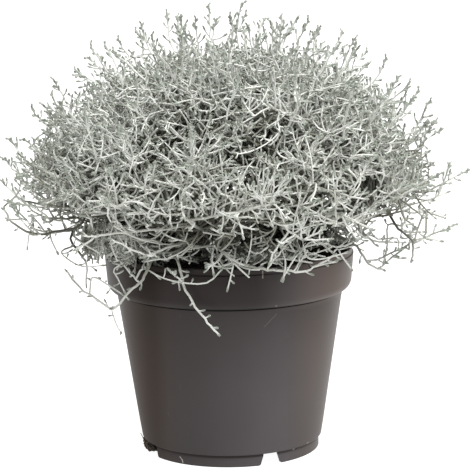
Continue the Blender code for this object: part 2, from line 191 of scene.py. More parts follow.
def spinProfile(points, steps):
    # Turns a line of (radius, height) points into a closed round shape.
    shape = bmesh.new()
    verts = [shape.verts.new((radius, 0, height)) for radius, height in points]
    edges = [shape.edges.new(pair) for pair in zip(verts, verts[1:])]
    bmesh.ops.spin(shape, geom=verts + edges, cent=(0, 0, 0), axis=(0, 0, 1), angle=math.tau,
                   steps=steps, use_merge=True, use_duplicate=False)
    bmesh.ops.remove_doubles(shape, verts=shape.verts, dist=weldGap)
    bmesh.ops.recalc_face_normals(shape, faces=shape.faces)
    return shape


def fromFront(azimuth, radius, height):
    # The azimuth is measured from the front, towards the right.
    return Vector((radius * math.sin(azimuth), -radius * math.cos(azimuth), height))


# Camera, floor and light

view = {"distance": 1.6, "elevation": 10.5, "roll": -0.9, "lens": 179.5, "sensor": 36, "clipEnd": 20,
        "aim": (0.0042, 0.0, 0.1471)}
studio = {"floorSize": 60.0, "floorGlow": 0.97, "floorTones": (0.22, 0.21), "floorGrain": 3.0,
          "grainShare": 0.1, "world": 0.66, "key": 4.8, "keySize": 50, "keyFrom": (0.25, -0.34, 1.0),
          "sides": ((1.1, (1.0, 0.05, 0.45)), (0.08, (-1.0, 0.10, 0.45))), "sideSize": 60}


def placeCamera():
    elevation = math.radians(view["elevation"])
    roll = math.radians(view["roll"])
    aim = Vector(view["aim"])
    back = Vector((0, -math.cos(elevation), math.sin(elevation)))
    right = Vector((1, 0, 0))
    up = back.cross(right)
    tiltedRight = right * math.cos(roll) + up * math.sin(roll)
    tiltedUp = up * math.cos(roll) - right * math.sin(roll)
    turn = Matrix((tiltedRight, tiltedUp, back)).transposed().to_4x4()
    lens = bpy.data.cameras.new("camera")
    lens.lens = view["lens"]
    lens.sensor_width = view["sensor"]
    lens.clip_end = view["clipEnd"]
    camera = bpy.data.objects.new("camera", lens)
    camera.matrix_world = Matrix.Translation(aim + back * view["distance"]) @ turn
    bpy.context.scene.collection.objects.link(camera)
    bpy.context.scene.camera = camera


def addLamp(name, strength, size, source):
    lamp = bpy.data.lights.new(name, "SUN")
    lamp.energy = strength
    lamp.angle = math.radians(size)
    holder = bpy.data.objects.new(name, lamp)
    holder.rotation_euler = Vector(source).to_track_quat("Z", "Y").to_euler()
    bpy.context.scene.collection.objects.link(holder)


def placeStudio():
    shape = bmesh.new()
    bmesh.ops.create_grid(shape, x_segments=1, y_segments=1, size=studio["floorSize"] / 2)
    floor = bpy.data.objects.new("floor", meshFrom(shape, "floor", smooth=False))
    bpy.context.scene.collection.objects.link(floor)
    paint = Paint("paleFloor", roughness=0.9)
    grain = paint.speckle(paint.place(), studio["floorGrain"])
    pale, dark = studio["floorTones"]
    grain = grain * studio["grainShare"]
    paint.set("Base Color", paint.mix(grain, tint(pale, pale, pale), tint(dark, dark, dark)))
    paint.set("Emission Color", (1.0, 1.0, 1.0, 1.0))
    paint.set("Emission Strength", studio["floorGlow"])
    floor.data.materials.append(paint.material)
    world = bpy.data.worlds.new("softRoom")
    bpy.context.scene.world = world
    world.use_nodes = True
    sky = world.node_tree.nodes["Background"]
    sky.inputs["Color"].default_value = (1.0, 1.0, 1.0, 1.0)
    sky.inputs["Strength"].default_value = studio["world"]
    addLamp("key", studio["key"], studio["keySize"], studio["keyFrom"])
    for index, (strength, source) in enumerate(studio["sides"]):
        addLamp(f"side{index + 1}", strength, studio["sideSize"], source)
    bpy.context.scene.view_settings.view_transform = "Standard"


placeCamera()
placeStudio()
print("camera, floor and light placed")


# Pot

pot = {
    "height": 0.1400, "rimRadius": 0.0850, "rimDraft": 0.0014, "lipHeight": 0.0044, "lipStep": 0.0009,
    "bandHeight": 0.0282, "bandRounding": 0.0065, "bodyTop": 0.0775, "bodyBottom": 0.0619, "wall": 0.0015,
    "footHeight": 0.0084, "footStep": 0.0020, "floor": 0.0020, "steps": 192, "sharpAngle": 32,
    "edge": 0.0005, "groove": 0.0006, "grooveLevels": (0.0002, 0.0010), "insideCorner": 0.0030,
    "lipFillet": 0.0006, "bandFlat": 0.75, "shoulder": (0.0008, 0.0010), "footEdges": (0.0004, 0.0003),
    "floorRings": (0.0, 0.02, 0.04), "insideLevels": (0.03, 0.05, 0.07, 0.09),
    "insideSteps": (0.001, 0.004, 0.002), "insideSlope": 0.003,
    "outsideLevels": (0.104, 0.09, 0.07, 0.05, 0.03, 0.018),
    "footGroove": 0.6, "footLevels": (0.0006, 0.0020), "footFrom": 0.004,
    "notches": 4, "firstNotch": 25.6, "notchTop": 0.0100, "notchBottom": 0.0152, "notchCorner": 0.0022,
    "notchSteps": 4, "notchGap": 0.0006, "cutterEdge": 0.001, "cutterUnder": 0.002, "cutterFrom": 0.070,
    "cutterLength": 0.018,
    "drains": 8, "drainRadius": 0.0045, "drainRing": 0.0515, "drainDepth": 0.008, "drainSteps": 32,
}


def bodyRadius(height):
    share = (height - pot["footHeight"]) / (pot["height"] - pot["bandHeight"] - pot["footHeight"])
    return pot["bodyBottom"] + share * (pot["bodyTop"] - pot["bodyBottom"])


def arc(middle, radii, start, end, count):
    # Points of part of an ellipse, for a rounded edge of a profile.
    spots = []
    for index in range(count + 1):
        angle = math.radians(start + (end - start) * index / count)
        spots.append((middle[0] + radii[0] * math.cos(angle), middle[1] + radii[1] * math.sin(angle)))
    return spots


def potProfile():
    # From the middle of the floor up inside the wall, over the rim, down outside it and under the foot.
    wall, edge, groove = pot["wall"], pot["edge"], pot["groove"]
    floorTop = pot["footHeight"] + pot["floor"]
    bandBottom = pot["height"] - pot["bandHeight"]
    bandTop = pot["height"] - pot["lipHeight"]
    lip = pot["rimRadius"] - pot["lipStep"]
    bandRadius = pot["rimRadius"] - pot["rimDraft"]
    foot = pot["bodyBottom"] - pot["footStep"]
    side, corner, fillet = pot["bandRounding"], pot["insideCorner"], pot["lipFillet"]
    shoulder = pot["shoulder"]
    outer, inner = pot["footEdges"]
    points = [(radius, floorTop) for radius in pot["floorRings"]]
    points += arc((bodyRadius(floorTop) - wall - corner, floorTop + corner), (corner, corner), -90, 0, 6)
    points += [(bodyRadius(level) - wall, level) for level in pot["insideLevels"]]
    below, above, under = pot["insideSteps"]
    points += [(pot["bodyTop"] - wall, bandBottom - below),
               (bandRadius - wall - pot["insideSlope"], bandBottom + above), (lip - wall, bandTop - under)]
    points += arc((lip - wall / 2, pot["height"] - wall / 2), (wall / 2, wall / 2), 180, 0, 8)
    points += [(lip, bandTop + fillet * 2)]
    points += arc((lip + fillet, bandTop + fillet), (fillet, fillet), 180, 270, 3)
    points += arc((pot["rimRadius"] - edge, bandTop - edge), (edge, edge), 80, 0, 4)
    across = side * pot["bandFlat"]
    points += arc((bandRadius - across, bandBottom + side), (across, side), 0, -88, 9)
    upper, lower = pot["grooveLevels"]
    points += [(pot["bodyTop"] - groove, bandBottom), (pot["bodyTop"] - groove, bandBottom - upper),
               (pot["bodyTop"], bandBottom - lower)]
    points += [(bodyRadius(level), level) for level in pot["outsideLevels"]]
    points += arc((pot["bodyBottom"] - shoulder[0], pot["footHeight"] + shoulder[1]), shoulder, 5, -90, 5)
    deepest = foot - groove * pot["footGroove"]
    upper, lower = pot["footLevels"]
    points += [(deepest, pot["footHeight"]), (deepest, pot["footHeight"] - upper),
               (foot, pot["footHeight"] - lower), (foot, pot["footFrom"])]
    points += arc((foot - outer, outer), (outer, outer), 0, -90, 3)
    points += arc((foot - wall + inner, inner), (inner, inner), -90, -180, 2)
    points += [(foot - wall, pot["footHeight"]), (pot["floorRings"][-1], pot["footHeight"]),
               (0.0, pot["footHeight"])]
    return points


def notchCutter(angle):
    # The gap between two feet widens downwards, and the feet's lower corners are rounded.
    top = pot["footHeight"] - pot["notchGap"]
    half = pot["notchTop"] / 2
    corner = pot["notchCorner"]
    low = half + (pot["notchBottom"] / 2 - half) * (top - corner) / top
    outline = [(half, top), (low, corner)]
    for index in range(1, pot["notchSteps"] + 1):
        bend = math.radians(90 * index / pot["notchSteps"])
        outline.append((low + corner * (1 - math.cos(bend)), corner * (1 - math.sin(bend))))
    outline.append((low + corner + pot["cutterEdge"], -pot["cutterUnder"]))
    outline += [(-x, z) for x, z in reversed(outline)]
    shape = bmesh.new()
    face = shape.faces.new([shape.verts.new((x, -pot["cutterFrom"], z)) for x, z in outline])
    grown = bmesh.ops.extrude_face_region(shape, geom=[face])
    moved = [part for part in grown["geom"] if isinstance(part, bmesh.types.BMVert)]
    bmesh.ops.translate(shape, verts=moved, vec=(0, pot["cutterLength"], 0))
    bmesh.ops.recalc_face_normals(shape, faces=shape.faces)
    bmesh.ops.rotate(shape, verts=shape.verts, cent=(0, 0, 0), matrix=Matrix.Rotation(angle, 3, "Z"))
    return shape


def holeCutters():
    # One drain hole behind each notch, and one between.
    shapes = []
    for index in range(pot["drains"]):
        angle = math.radians(pot["firstNotch"] + index * 360 / pot["drains"])
        shape = bmesh.new()
        bmesh.ops.create_cone(shape, cap_ends=True, segments=pot["drainSteps"], radius1=pot["drainRadius"],
                              radius2=pot["drainRadius"], depth=pot["drainDepth"])
        middle = fromFront(angle, pot["drainRing"], pot["footHeight"] + pot["floor"] / 2)
        bmesh.ops.translate(shape, verts=shape.verts, vec=middle)
        shapes.append(shape)
    return shapes


def cutShape(name, shape, cutters):
    # Takes every cutter out of the shape, and keeps the result as a plain mesh.
    thing = bpy.data.objects.new(name, meshFrom(shape, name))
    bpy.context.scene.collection.objects.link(thing)
    group = bpy.data.collections.new(name + "Cutters")
    for cutter in cutters:
        group.objects.link(bpy.data.objects.new(name + "Cutter", meshFrom(cutter, name + "Cutter")))
    boolean = thing.modifiers.new("cut", "BOOLEAN")
    boolean.operation = "DIFFERENCE"
    boolean.operand_type = "COLLECTION"
    boolean.collection = group
    depsgraph = bpy.context.evaluated_depsgraph_get()
    mesh = bpy.data.meshes.new_from_object(thing.evaluated_get(depsgraph))
    bpy.data.objects.remove(thing)
    for cutter in list(group.objects):
        bpy.data.objects.remove(cutter)
    bpy.data.collections.remove(group)
    mesh.name = name
    mesh.shade_smooth()
    mesh.set_sharp_from_angle(angle=math.radians(pot["sharpAngle"]))
    return mesh


# Small marks on the front of the pot: two ends as (across, height), half width, and how far it lightens
marks = (
    ((0.0307, 0.1071), (0.0224, 0.0987), 0.00014, 0.16),
    ((0.0218, 0.1382), (0.0218, 0.1335), 0.00030, 0.45),
    ((0.0303, 0.1138), (0.0305, 0.1134), 0.00045, 0.22),
    ((0.0516, 0.0093), (0.0512, 0.0092), 0.00040, 0.35),
    ((0.0417, 0.0074), (0.0413, 0.0073), 0.00045, 0.35),
    ((-0.0353, 0.0049), (-0.0336, 0.0028), 0.00022, 0.85),
    ((-0.0336, 0.0028), (-0.0333, 0.0012), 0.00026, 0.85),
)


def markAt(paint, across, height, mark):
    # How near a place is to the line between a mark's two ends: 1 on it, 0 beyond its soft edge.
    (startX, startZ), (endX, endZ), width, strength = mark
    alongX, alongZ = endX - startX, endZ - startZ
    length = alongX * alongX + alongZ * alongZ
    reached = (across - startX) * (alongX / length) + (height - startZ) * (alongZ / length)
    share = paint.span(reached, 0.0, 1.0)
    asideX = across - startX - share * alongX
    asideZ = height - startZ - share * alongZ
    hard, soft = (width * share for share in plastic["markEdge"])
    return paint.span((asideX * asideX + asideZ * asideZ) ** 0.5, hard, soft, strength, 0.0)


# Spans and heights are in metres. The fading ramp runs up the pot and paints shade: darkest on the band under
# the bush, lighter towards the foot. The sides ramp runs across it and paints light from the right and shade
# at the left.
plastic = {
    "tones": [(0.30, (0.0585, 0.0556, 0.0592)), (0.52, (0.0650, 0.0614, 0.0653)),
              (0.75, (0.0715, 0.0670, 0.0700))],
    "left": (0.1050, 0.0520, 0.0200), "right": (0.0810, 0.0610, 0.0500), "sideSpan": (0.034, 0.070),
    "fading": greys((0.00, 0.90), (0.35, 0.86), (0.58, 0.72), (0.78, 0.50),
                    (0.81, 0.24), (0.96, 0.15), (1.00, 0.30)),
    "width": 0.16,
    "sides": greys((0.06, 0.26), (0.17, 0.28), (0.28, 0.50), (0.45, 0.70),
                   (0.54, 0.77), (0.70, 1.00), (0.84, 0.92), (0.92, 0.72)),
    "bandSpan": (0.018, 0.066), "bandHeights": (0.107, 0.114), "bandLight": 0.85,
    "lowSpan": (0.020, 0.060), "lowHeights": (0.015, 0.075), "lowShade": 0.35,
    "groove": (0.1104, 0.1110, 0.1121, 0.1126), "grooveShade": 0.8,
    "skirt": (0.0060, 0.0068, 0.0082, 0.0086), "skirtShade": 0.7, "line": (0.001, 0.001, 0.001),
    "clouds": 14.0, "grain": 900.0, "dust": (160.0, 4.0, 0.65), "dustSpan": (0.68, 0.84), "dustWear": 0.08,
    "scratchScale": (90.0, 90.0, 7.0), "scratchTurn": (0.0, 0.5, 0.3), "scratches": (6.0, 3.0, 0.6),
    "scratchSpan": (0.70, 0.78), "scratchWear": 0.06, "worn": (0.40, 0.37, 0.33),
    "markEdge": (0.6, 1.6), "marksFrom": -0.010,
    "dull": (-0.074, -0.056, 0.04, 0.22), "dullEnd": (-0.050, -0.040, 1.0, 0.0),
    "rough": 0.36, "cloudRough": 0.10, "grainRough": 0.06, "dustRough": 0.15,
    "specular": 0.28, "specularTint": (1.0, 0.82, 0.76), "grainBump": 0.6, "cloudBump": 0.4,
    "bump": (0.12, 0.0004),
}


def plasticToneAndPaintedShade(paint, across, height, cloud):
    # The plastic is browner towards its left and right sides. Painted shade darkens the band under the bush,
    # the pot's left side and the low right part of the body. Painted light brightens its right side and the
    # band's right part, and painted shade lines lie under the band and round the top of the foot.
    base = paint.ramp(cloud, plastic["tones"])
    near, far = plastic["sideSpan"]
    base = paint.mix(paint.span(across, -far, -near, 1.0, 0.0), base, tint(*plastic["left"]))
    base = paint.mix(paint.span(across, near, far), base, tint(*plastic["right"]))
    # Painted shade up the pot, darkest on the band under the bush, and painted light across it, from shade at
    # the left to light at the right.
    fading = paint.ramp(height / pot["height"], plastic["fading"])
    sides = paint.ramp(across / plastic["width"] + 0.5, plastic["sides"])
    # Painted light on the band's right part, and painted shade low on the body's right.
    bandLight = paint.span(across, *plastic["bandSpan"], 0.0, plastic["bandLight"])
    bandLight = bandLight * paint.span(height, *plastic["bandHeights"])
    lowShade = paint.span(across, *plastic["lowSpan"], 0.0, plastic["lowShade"])
    lowShade = lowShade * paint.span(height, *plastic["lowHeights"], 1.0, 0.0)
    base = paint.mix((fading + bandLight) * sides * (1.0 - lowShade), tint(0.0, 0.0, 0.0), base)
    # Painted shade: dark lines under the band and round the top of the foot.
    groove = paint.between(height, *plastic["groove"]) * plastic["grooveShade"]
    skirt = paint.between(height, *plastic["skirt"]) * plastic["skirtShade"]
    return paint.mix(groove + skirt, base, tint(*plastic["line"]))


def plasticPaint():
    paint = Paint("taupePlastic", roughness=0.42)
    spot = paint.place()
    axes = [paint.node("ShaderNodeSeparateXYZ", {}, {"Vector": spot}, axis) for axis in range(3)]
    across, depth, height = axes
    cloud = paint.speckle(spot, plastic["clouds"], 3.0)
    grain = paint.speckle(spot, plastic["grain"], 2.0)
    base = plasticToneAndPaintedShade(paint, across, height, cloud)
    scratched = paint.node("ShaderNodeMapping", {}, {
        "Vector": spot, "Scale": plastic["scratchScale"], "Rotation": plastic["scratchTurn"]})
    scratch = paint.span(paint.speckle(scratched, *plastic["scratches"]), *plastic["scratchSpan"])
    dust = paint.span(paint.speckle(spot, *plastic["dust"]), *plastic["dustSpan"])
    worn = scratch * plastic["scratchWear"] + dust * plastic["dustWear"]
    front = paint.span(depth, plastic["marksFrom"], 0.0, 1.0, 0.0)
    for mark in marks:
        worn = worn + markAt(paint, across, height, mark) * front
    paint.set("Base Color", paint.mix(paint.span(worn, 0.0, 1.0), base, tint(*plastic["worn"])))
    dull = paint.span(across, *plastic["dull"]) * paint.span(across, *plastic["dullEnd"])
    rough = plastic["rough"] + cloud * plastic["cloudRough"] + grain * plastic["grainRough"]
    paint.set("Roughness", rough + dust * plastic["dustRough"] + dull)
    paint.set("Specular IOR Level", plastic["specular"])
    paint.set("Specular Tint", tint(*plastic["specularTint"]))
    relief = grain * plastic["grainBump"] + cloud * plastic["cloudBump"]
    paint.set("Normal", paint.bump(relief, *plastic["bump"]))
    return paint.material


def makePot():
    cutters = [notchCutter(math.radians(pot["firstNotch"] + index * 360 / pot["notches"]))
               for index in range(pot["notches"])]
    mesh = cutShape("potShell", spinProfile(potProfile(), pot["steps"]), cutters + holeCutters())
    finishPiece("potShell", mesh, ["pot"], plasticPaint())


makePot()
print("pot made")


# The bush's shoots grow by the same rule as the frame's, so that stems, boughs and twigs lie where its do

bush = {
    "spread": 0.1600, "offset": 0.0015, "top": 0.3065, "middle": 0.1665, "radius": 0.1550, "rise": 0.1280,
    "drop": 0.0340, "lowest": 0.0785, "soilTop": 0.1270, "fitGap": 0.0003, "clearance": 0.0005,
    "potClearance": 0.0020, "testPlaces": (0.0, 0.25, 0.5, 0.75, 1.0), "rootReach": 0.0045, "shoots": 16,
    "seed": 11,
}
light = {"spread": 0.78, "lift": 0.85, "fall": 14.0, "least": 0.25}
stems = {
    "radius": 0.0015, "tip": 0.0010, "points": 6, "holeDepth": 0.0180, "neck": 0.0040,
    "rings": (0.010, 0.044), "rises": (0.99, -0.03), "reaches": (0.70, 0.78), "bend": 0.45, "bendRise": 0.62,
    "arch": 0.010, "turnStray": 0.12, "stray": 0.002,
}
boughs = {
    "count": 7, "radius": 0.0010, "tip": 0.0008, "points": 4, "choices": 40, "lengths": (0.040, 0.072),
    "angles": (38, 80), "lowest": 0.45, "reach": (0.60, 0.92), "room": 0.06, "curl": 0.16, "wander": 0.18,
    "hangingRoots": (0.5, 0.6, 0.7, 0.8, 0.9),
}
twigs = {
    "tip": 0.00090, "choices": 24, "angles": (35, 80), "leastAngle": 30, "lowest": 0.25, "outward": 0.016,
}
innerTwig = {"count": 24, "lengths": (0.014, 0.028), "lean": 0.30, "reach": (0.45, 0.95), "rise": -0.08}
leader = {"count": 10, "lengths": (0.020, 0.034), "lean": 1.8, "reach": (0.98, 1.03), "rise": 0.055}

# Routes of the boughs that hang over the rim: (azimuth in degrees from the front, radius, height)
hanging = (
    ((-29, 0.076, 0.149), (-21, 0.090, 0.145), (-19, 0.091, 0.131), (-14, 0.092, 0.117), (-9, 0.093, 0.107),
     (-4, 0.094, 0.098)),
    ((-36, 0.076, 0.150), (-34, 0.091, 0.143), (-37, 0.094, 0.132), (-44, 0.095, 0.123), (-52, 0.098, 0.110),
     (-58, 0.104, 0.116), (-67, 0.109, 0.121), (-68, 0.118, 0.134)),
    ((-58, 0.113, 0.168), (-67, 0.126, 0.160), (-73, 0.137, 0.158), (-78, 0.148, 0.164), (-79, 0.153, 0.174)),
    ((-72, 0.110, 0.157), (-72, 0.105, 0.143), (-72, 0.101, 0.134), (-72, 0.101, 0.118)),
    ((5, 0.080, 0.147), (8, 0.089, 0.143), (16, 0.090, 0.140), (25, 0.090, 0.138), (32, 0.090, 0.136),
     (40, 0.090, 0.139), (51, 0.091, 0.144)),
    ((68, 0.118, 0.162), (71, 0.127, 0.151), (72, 0.129, 0.144), (73, 0.127, 0.133)),
    ((71, 0.078, 0.150), (73, 0.090, 0.143), (74, 0.094, 0.136), (74, 0.099, 0.130), (75, 0.109, 0.126)),
    ((150, 0.078, 0.154), (152, 0.092, 0.145), (154, 0.099, 0.127), (156, 0.101, 0.106)),
    ((-140, 0.078, 0.154), (-143, 0.093, 0.145), (-146, 0.100, 0.129), (-148, 0.104, 0.110)),
)


class Growth:
    # Keeps every straight piece grown so far, and tests whether a new one is clear of them.
    def __init__(self):
        self.starts = []
        self.ends = []
        self.radii = []
        self.tips = []

    def add(self, points, radius):
        for start, end in zip(points, points[1:]):
            self.starts.append(tuple(start))
            self.ends.append(tuple(end))
            self.radii.append(radius)
        self.tips.append(tuple(points[-1]))

    def isClear(self, start, end, radius):
        for share in bush["testPlaces"]:
            if hitsPot(start.lerp(end, share), radius):
                return False
        if not self.starts:
            return True
        gaps = pieceDistances(np.array(start), np.array(end), np.array(self.starts), np.array(self.ends))
        return bool(np.all(gaps > np.array(self.radii) + radius + bush["clearance"]))

    def roomAt(self, point):
        if not self.tips:
            return 1.0
        return float(np.sqrt(np.min(np.sum((np.array(self.tips) - np.array(point)) ** 2, axis=1))))


def pieceDistances(start, end, starts, ends):
    # The distance of one straight piece to each of many.
    along = end - start
    others = ends - starts
    between = start - starts
    length = along @ along
    lengths = np.einsum("ij,ij->i", others, others)
    shift = np.einsum("ij,ij->i", others, between)
    base = between @ along
    cross = others @ along
    spread = np.maximum(length * lengths - cross * cross, 1e-18)
    here = np.clip((cross * shift - base * lengths) / spread, 0.0, 1.0)
    there = np.clip((cross * here + shift) / lengths, 0.0, 1.0)
    here = np.clip((cross * there - base) / length, 0.0, 1.0)
    gap = (start + here[:, None] * along) - (starts + there[:, None] * others)
    return np.sqrt(np.einsum("ij,ij->i", gap, gap))


def hitsPot(point, radius, clearance=bush["potClearance"]):
    margin = radius + clearance
    fromAxis = math.hypot(point.x, point.y)
    if point.z > pot["height"] + margin:
        return False
    if point.z < bush["lowest"]:
        return True
    if fromAxis > pot["rimRadius"] + margin:
        return False
    return fromAxis > pot["bodyTop"] - margin or point.z < bush["soilTop"] + margin


def fullness(point):
    # How far out a point lies in the dome: 0 at its middle, 1 on its surface.
    across = math.hypot(point.x - bush["offset"], point.y) / bush["radius"]
    height = point.z - bush["middle"]
    up = height / (bush["rise"] if height > 0 else bush["drop"])
    return math.hypot(across, up)


def lightward(point):
    # Up at the top of the dome, leaning further out towards its sides and lower edge.
    across = Vector((point.x - bush["offset"], point.y, 0.0)) / bush["radius"]
    below = max(bush["middle"] - point.z, 0.0)
    lift = max(light["lift"] - below * light["fall"], light["least"])
    return (across * light["spread"] + Vector((0.0, 0.0, lift))).normalized()


def sideways(axis, angle, roll):
    # A direction at an angle to the axis, turned about it by roll.
    side = axis.orthogonal().normalized()
    side.rotate(Matrix.Rotation(roll, 3, axis))
    return (axis * math.cos(angle) + side * math.sin(angle)).normalized()


def randomSide(rng, axis, angles):
    angle = math.radians(rng.uniform(*angles))
    return sideways(axis, angle, rng.uniform(0, math.tau))


def strayBy(rng, size):
    return Vector([rng.uniform(-size, size) for _ in range(3)])


def blend(pair, share):
    return pair[0] + share * (pair[1] - pair[0])


def stemRoute(index, rng):
    share = (index + 0.5) / bush["shoots"]
    rise = math.asin(blend(stems["rises"], share))
    azimuth = index * goldenAngle + rng.uniform(-stems["turnStray"], stems["turnStray"])
    ring = blend(stems["rings"], math.sqrt(share))
    foot = fromFront(azimuth, ring, bush["soilTop"] - stems["holeDepth"] + bush["fitGap"])
    neck = fromFront(azimuth, ring, bush["soilTop"] + stems["neck"])
    reach = rng.uniform(*stems["reaches"])
    height = bush["middle"] + bush["rise"] * reach * math.sin(rise)
    end = fromFront(azimuth, bush["radius"] * reach * math.cos(rise), height)
    end.x += bush["offset"]
    bend = neck.lerp(end, stems["bend"])
    bend.z = neck.z + stems["bendRise"] * (end.z - neck.z) + stems["arch"]
    points = [foot]
    last = stems["points"] - 2
    for step in range(last + 1):
        t = step / last
        point = neck * (1 - t) ** 2 + bend * 2 * t * (1 - t) + end * t ** 2
        if 0 < step < last:
            point += strayBy(rng, stems["stray"])
        points.append(point)
    return points


def pointOn(points, share):
    spot = share * (len(points) - 1)
    index = min(int(spot), len(points) - 2)
    start, end = points[index], points[index + 1]
    return start.lerp(end, spot - index), (end - start).normalized()


def growBough(rng, growth, stem):
    # A curling line from a place on the stem, or nothing where something is in its way.
    root, along = pointOn(stem, rng.uniform(boughs["lowest"], 1.0))
    heading = randomSide(rng, along, boughs["angles"])
    step = rng.uniform(*boughs["lengths"]) / (boughs["points"] - 1)
    points = [root]
    for index in range(boughs["points"] - 1):
        end = points[-1] + heading * step
        start = points[-1] if index else points[-1] + heading * bush["rootReach"]
        if not growth.isClear(start, end, boughs["radius"]):
            return None
        points.append(end)
        wander = strayBy(rng, boughs["wander"])
        heading = (heading + lightward(end) * boughs["curl"] + wander).normalized()
    return points


def growBoughs(rng, growth, stem):
    made = []
    nearest, furthest = boughs["reach"]
    for _ in range(boughs["count"]):
        best, bestRoom = None, 0.0
        for _ in range(boughs["choices"]):
            line = growBough(rng, growth, stem)
            if line is None or not nearest < fullness(line[-1]) < furthest:
                continue
            room = min(growth.roomAt(line[-1]), boughs["room"]) + boughs["room"] * fullness(line[-1])
            if room > bestRoom:
                best, bestRoom = line, room
        if best:
            growth.add(best, boughs["radius"])
            made.append(best)
    return made


def growTwig(rng, growth, lines, kind):
    # The roomiest of several choices. A leader grows upright, out of the dome's surface.
    nearest, furthest = kind["reach"]
    best, bestRoom = None, 0.0
    for _ in range(twigs["choices"]):
        root, along = pointOn(rng.choice(lines), rng.uniform(twigs["lowest"], 1.0))
        direction = randomSide(rng, along, twigs["angles"])
        direction = (direction + lightward(root) * kind["lean"]).normalized()
        if direction.angle(along) < math.radians(twigs["leastAngle"]):
            continue
        end = root + direction * rng.uniform(*kind["lengths"])
        rise = kind["rise"] * max(end.z - bush["middle"], 0.0) / bush["rise"]
        if not nearest + rise < fullness(end) < furthest + rise:
            continue
        room = growth.roomAt(end) + twigs["outward"] * fullness(end)
        if room <= bestRoom:
            continue
        if growth.isClear(root + direction * bush["rootReach"], end, twigs["tip"]):
            best, bestRoom = [root, end], room
    if best:
        growth.add(best, twigs["tip"])
    return best


def addHangingBoughs(growth, shoots):
    for route in hanging:
        line = [fromFront(math.radians(azimuth), radius, height) for azimuth, radius, height in route]
        nearest = None
        for shoot in shoots:
            for share in boughs["hangingRoots"]:
                root, _ = pointOn(shoot["stem"], share)
                gap = (root - line[0]).length
                if nearest is None or gap < nearest[0]:
                    nearest = (gap, root, shoot)
        line = [nearest[1]] + line
        growth.add(line, boughs["radius"])
        nearest[2]["boughs"].append(line)
        nearest[2]["hanging"].append(line)


def reachSpread(shoots):
    ends = [twig for shoot in shoots for twig in shoot["twigs"]]
    spread, offset = bush["spread"], bush["offset"]
    sides = ((0, spread + offset), (0, offset - spread), (1, spread), (1, -spread))
    for axis, target in (*sides, (2, bush["top"])):
        sign = math.copysign(1, target)
        furthest = max(ends, key=lambda twig: twig[-1][axis] * sign)
        furthest[-1][axis] = target


def growBush():
    rng = random.Random(bush["seed"])
    growth = Growth()
    shoots = []
    for index in range(bush["shoots"]):
        stem = stemRoute(index, rng)
        growth.add(stem, stems["radius"])
        shoots.append({"stem": stem, "boughs": [], "twigs": [], "hanging": []})
    addHangingBoughs(growth, shoots)
    for shoot in reversed(shoots):
        shoot["boughs"] += growBoughs(rng, growth, shoot["stem"])
    for kind in (innerTwig, leader):
        for _ in range(kind["count"]):
            for shoot in shoots:
                twig = growTwig(rng, growth, [shoot["stem"][2:]] + shoot["boughs"] * 2, kind)
                if twig:
                    shoot["twigs"].append(twig)
    reachSpread(shoots)
    return shoots


shoots = growBush()
print("shoots grown:", len(shoots))


# Fine growth on the shoots: bare wires among the boughs, dark old wood and painted shade inside and budded
# spires outside

fine = {
    "seed": 7, "cell": 0.007, "tipCell": 0.024, "arch": 0.34, "archShares": (0.1, 1.0), "kink": 0.0005,
    "radius": 0.0006, "potGap": 0.0008, "thickRounding": 1, "thinRounding": 0, "sharpAngle": 80,
}
dome = {
    "lumps": 24.0, "lumpSize": 0.05, "edge": 0.93, "topEdge": 0.08, "outside": 0.78,
    "skirt": 0.1840, "underside": 11.0, "leastReach": 0.56,
    "thinFrom": 0.080, "thinRise": 25.0, "thinLow": 0.172, "thinLowRise": 50.0, "thinSize": 85.0,
    "thinLevel": 0.60, "thinShare": 0.42,
}

# A point's age gives the felt its colour: 0 for old dark wood, 0.66 for the palest wires and 1 for buds. It
# also carries painted shade: lower deep inside the dome, under it, and on wires far out at its sides
tones = {
    "deep": 0.34, "perDepth": 1.2, "most": 0.62, "pale": 0.66, "heads": 0.86,
    "under": 0.012, "underRise": 12.0, "underMost": 0.22, "underWithin": 0.085, "underEdge": 40.0,
    "belt": 0.193, "beltHalf": 0.024, "beltTone": 0.12, "beltAside": 0.16,
    "asideFrom": 0.030, "asideRise": 33.0,
    "paintedSideShade": 0.24, "sideFrom": 0.085, "sideRise": 50.0, "lowFrom": 0.204, "lowRise": 30.0,
    "farFrom": 0.098, "farRise": 25.0, "farMost": 0.85, "budding": 0.74,
}

# The drawn lines of the solids' own stems, boughs and twigs
wood = {
    "pieces": 4, "twigPieces": 3, "places": 40, "sagStray": 0.7, "sags": (0.03, 0.12),
    "stemAges": (0.0, 0.50), "boughTip": 0.00066, "boughAge": 0.5, "hangingAge": 0.72,
    "hangingSides": {"age": 0.62, "span": (0.08, 0.96), "gap": 1.6},
    "leaderRadius": 0.00066, "twigRadii": (0.00070, 0.00052), "twigSpan": (0.25, 0.90),
}

# Each kind of wire. A line starts among its roots on a host, turns to the light by its lift at each step,
# and needs more than its least room. The crowd keeps its noted points, and its sides say what addTwiglets
# grows on it.
longWires = {
    "count": 11, "tries": 8, "roots": (0.03, 0.69), "angles": (45, 85), "lengths": (0.045, 0.090),
    "points": 9, "lift": 0.07, "wander": 0.06, "bend": 0.4, "edge": 0.97, "from": 0.75,
    "radius": 0.00068, "taper": 0.75, "ages": (0.3, 0.56),
}
wires = {
    "name": "wires", "count": 165, "choices": 10, "least": 0.0016, "noted": (2, 4, 6),
    "roots": (0.10, 1.0), "angles": (45, 85), "lean": (-0.1, 0.5), "lengths": (0.014, 0.038), "points": 7,
    "lift": 0.07, "wander": 0.15, "from": 0.55, "beyond": 0.02, "depth": 0.35,
    "radius": 0.00055, "sizes": (0.85, 1.15), "taper": 0.85, "sideSpan": (0.20, 0.95), "sideAge": 0.3,
    "lowGap": 1.8,
}
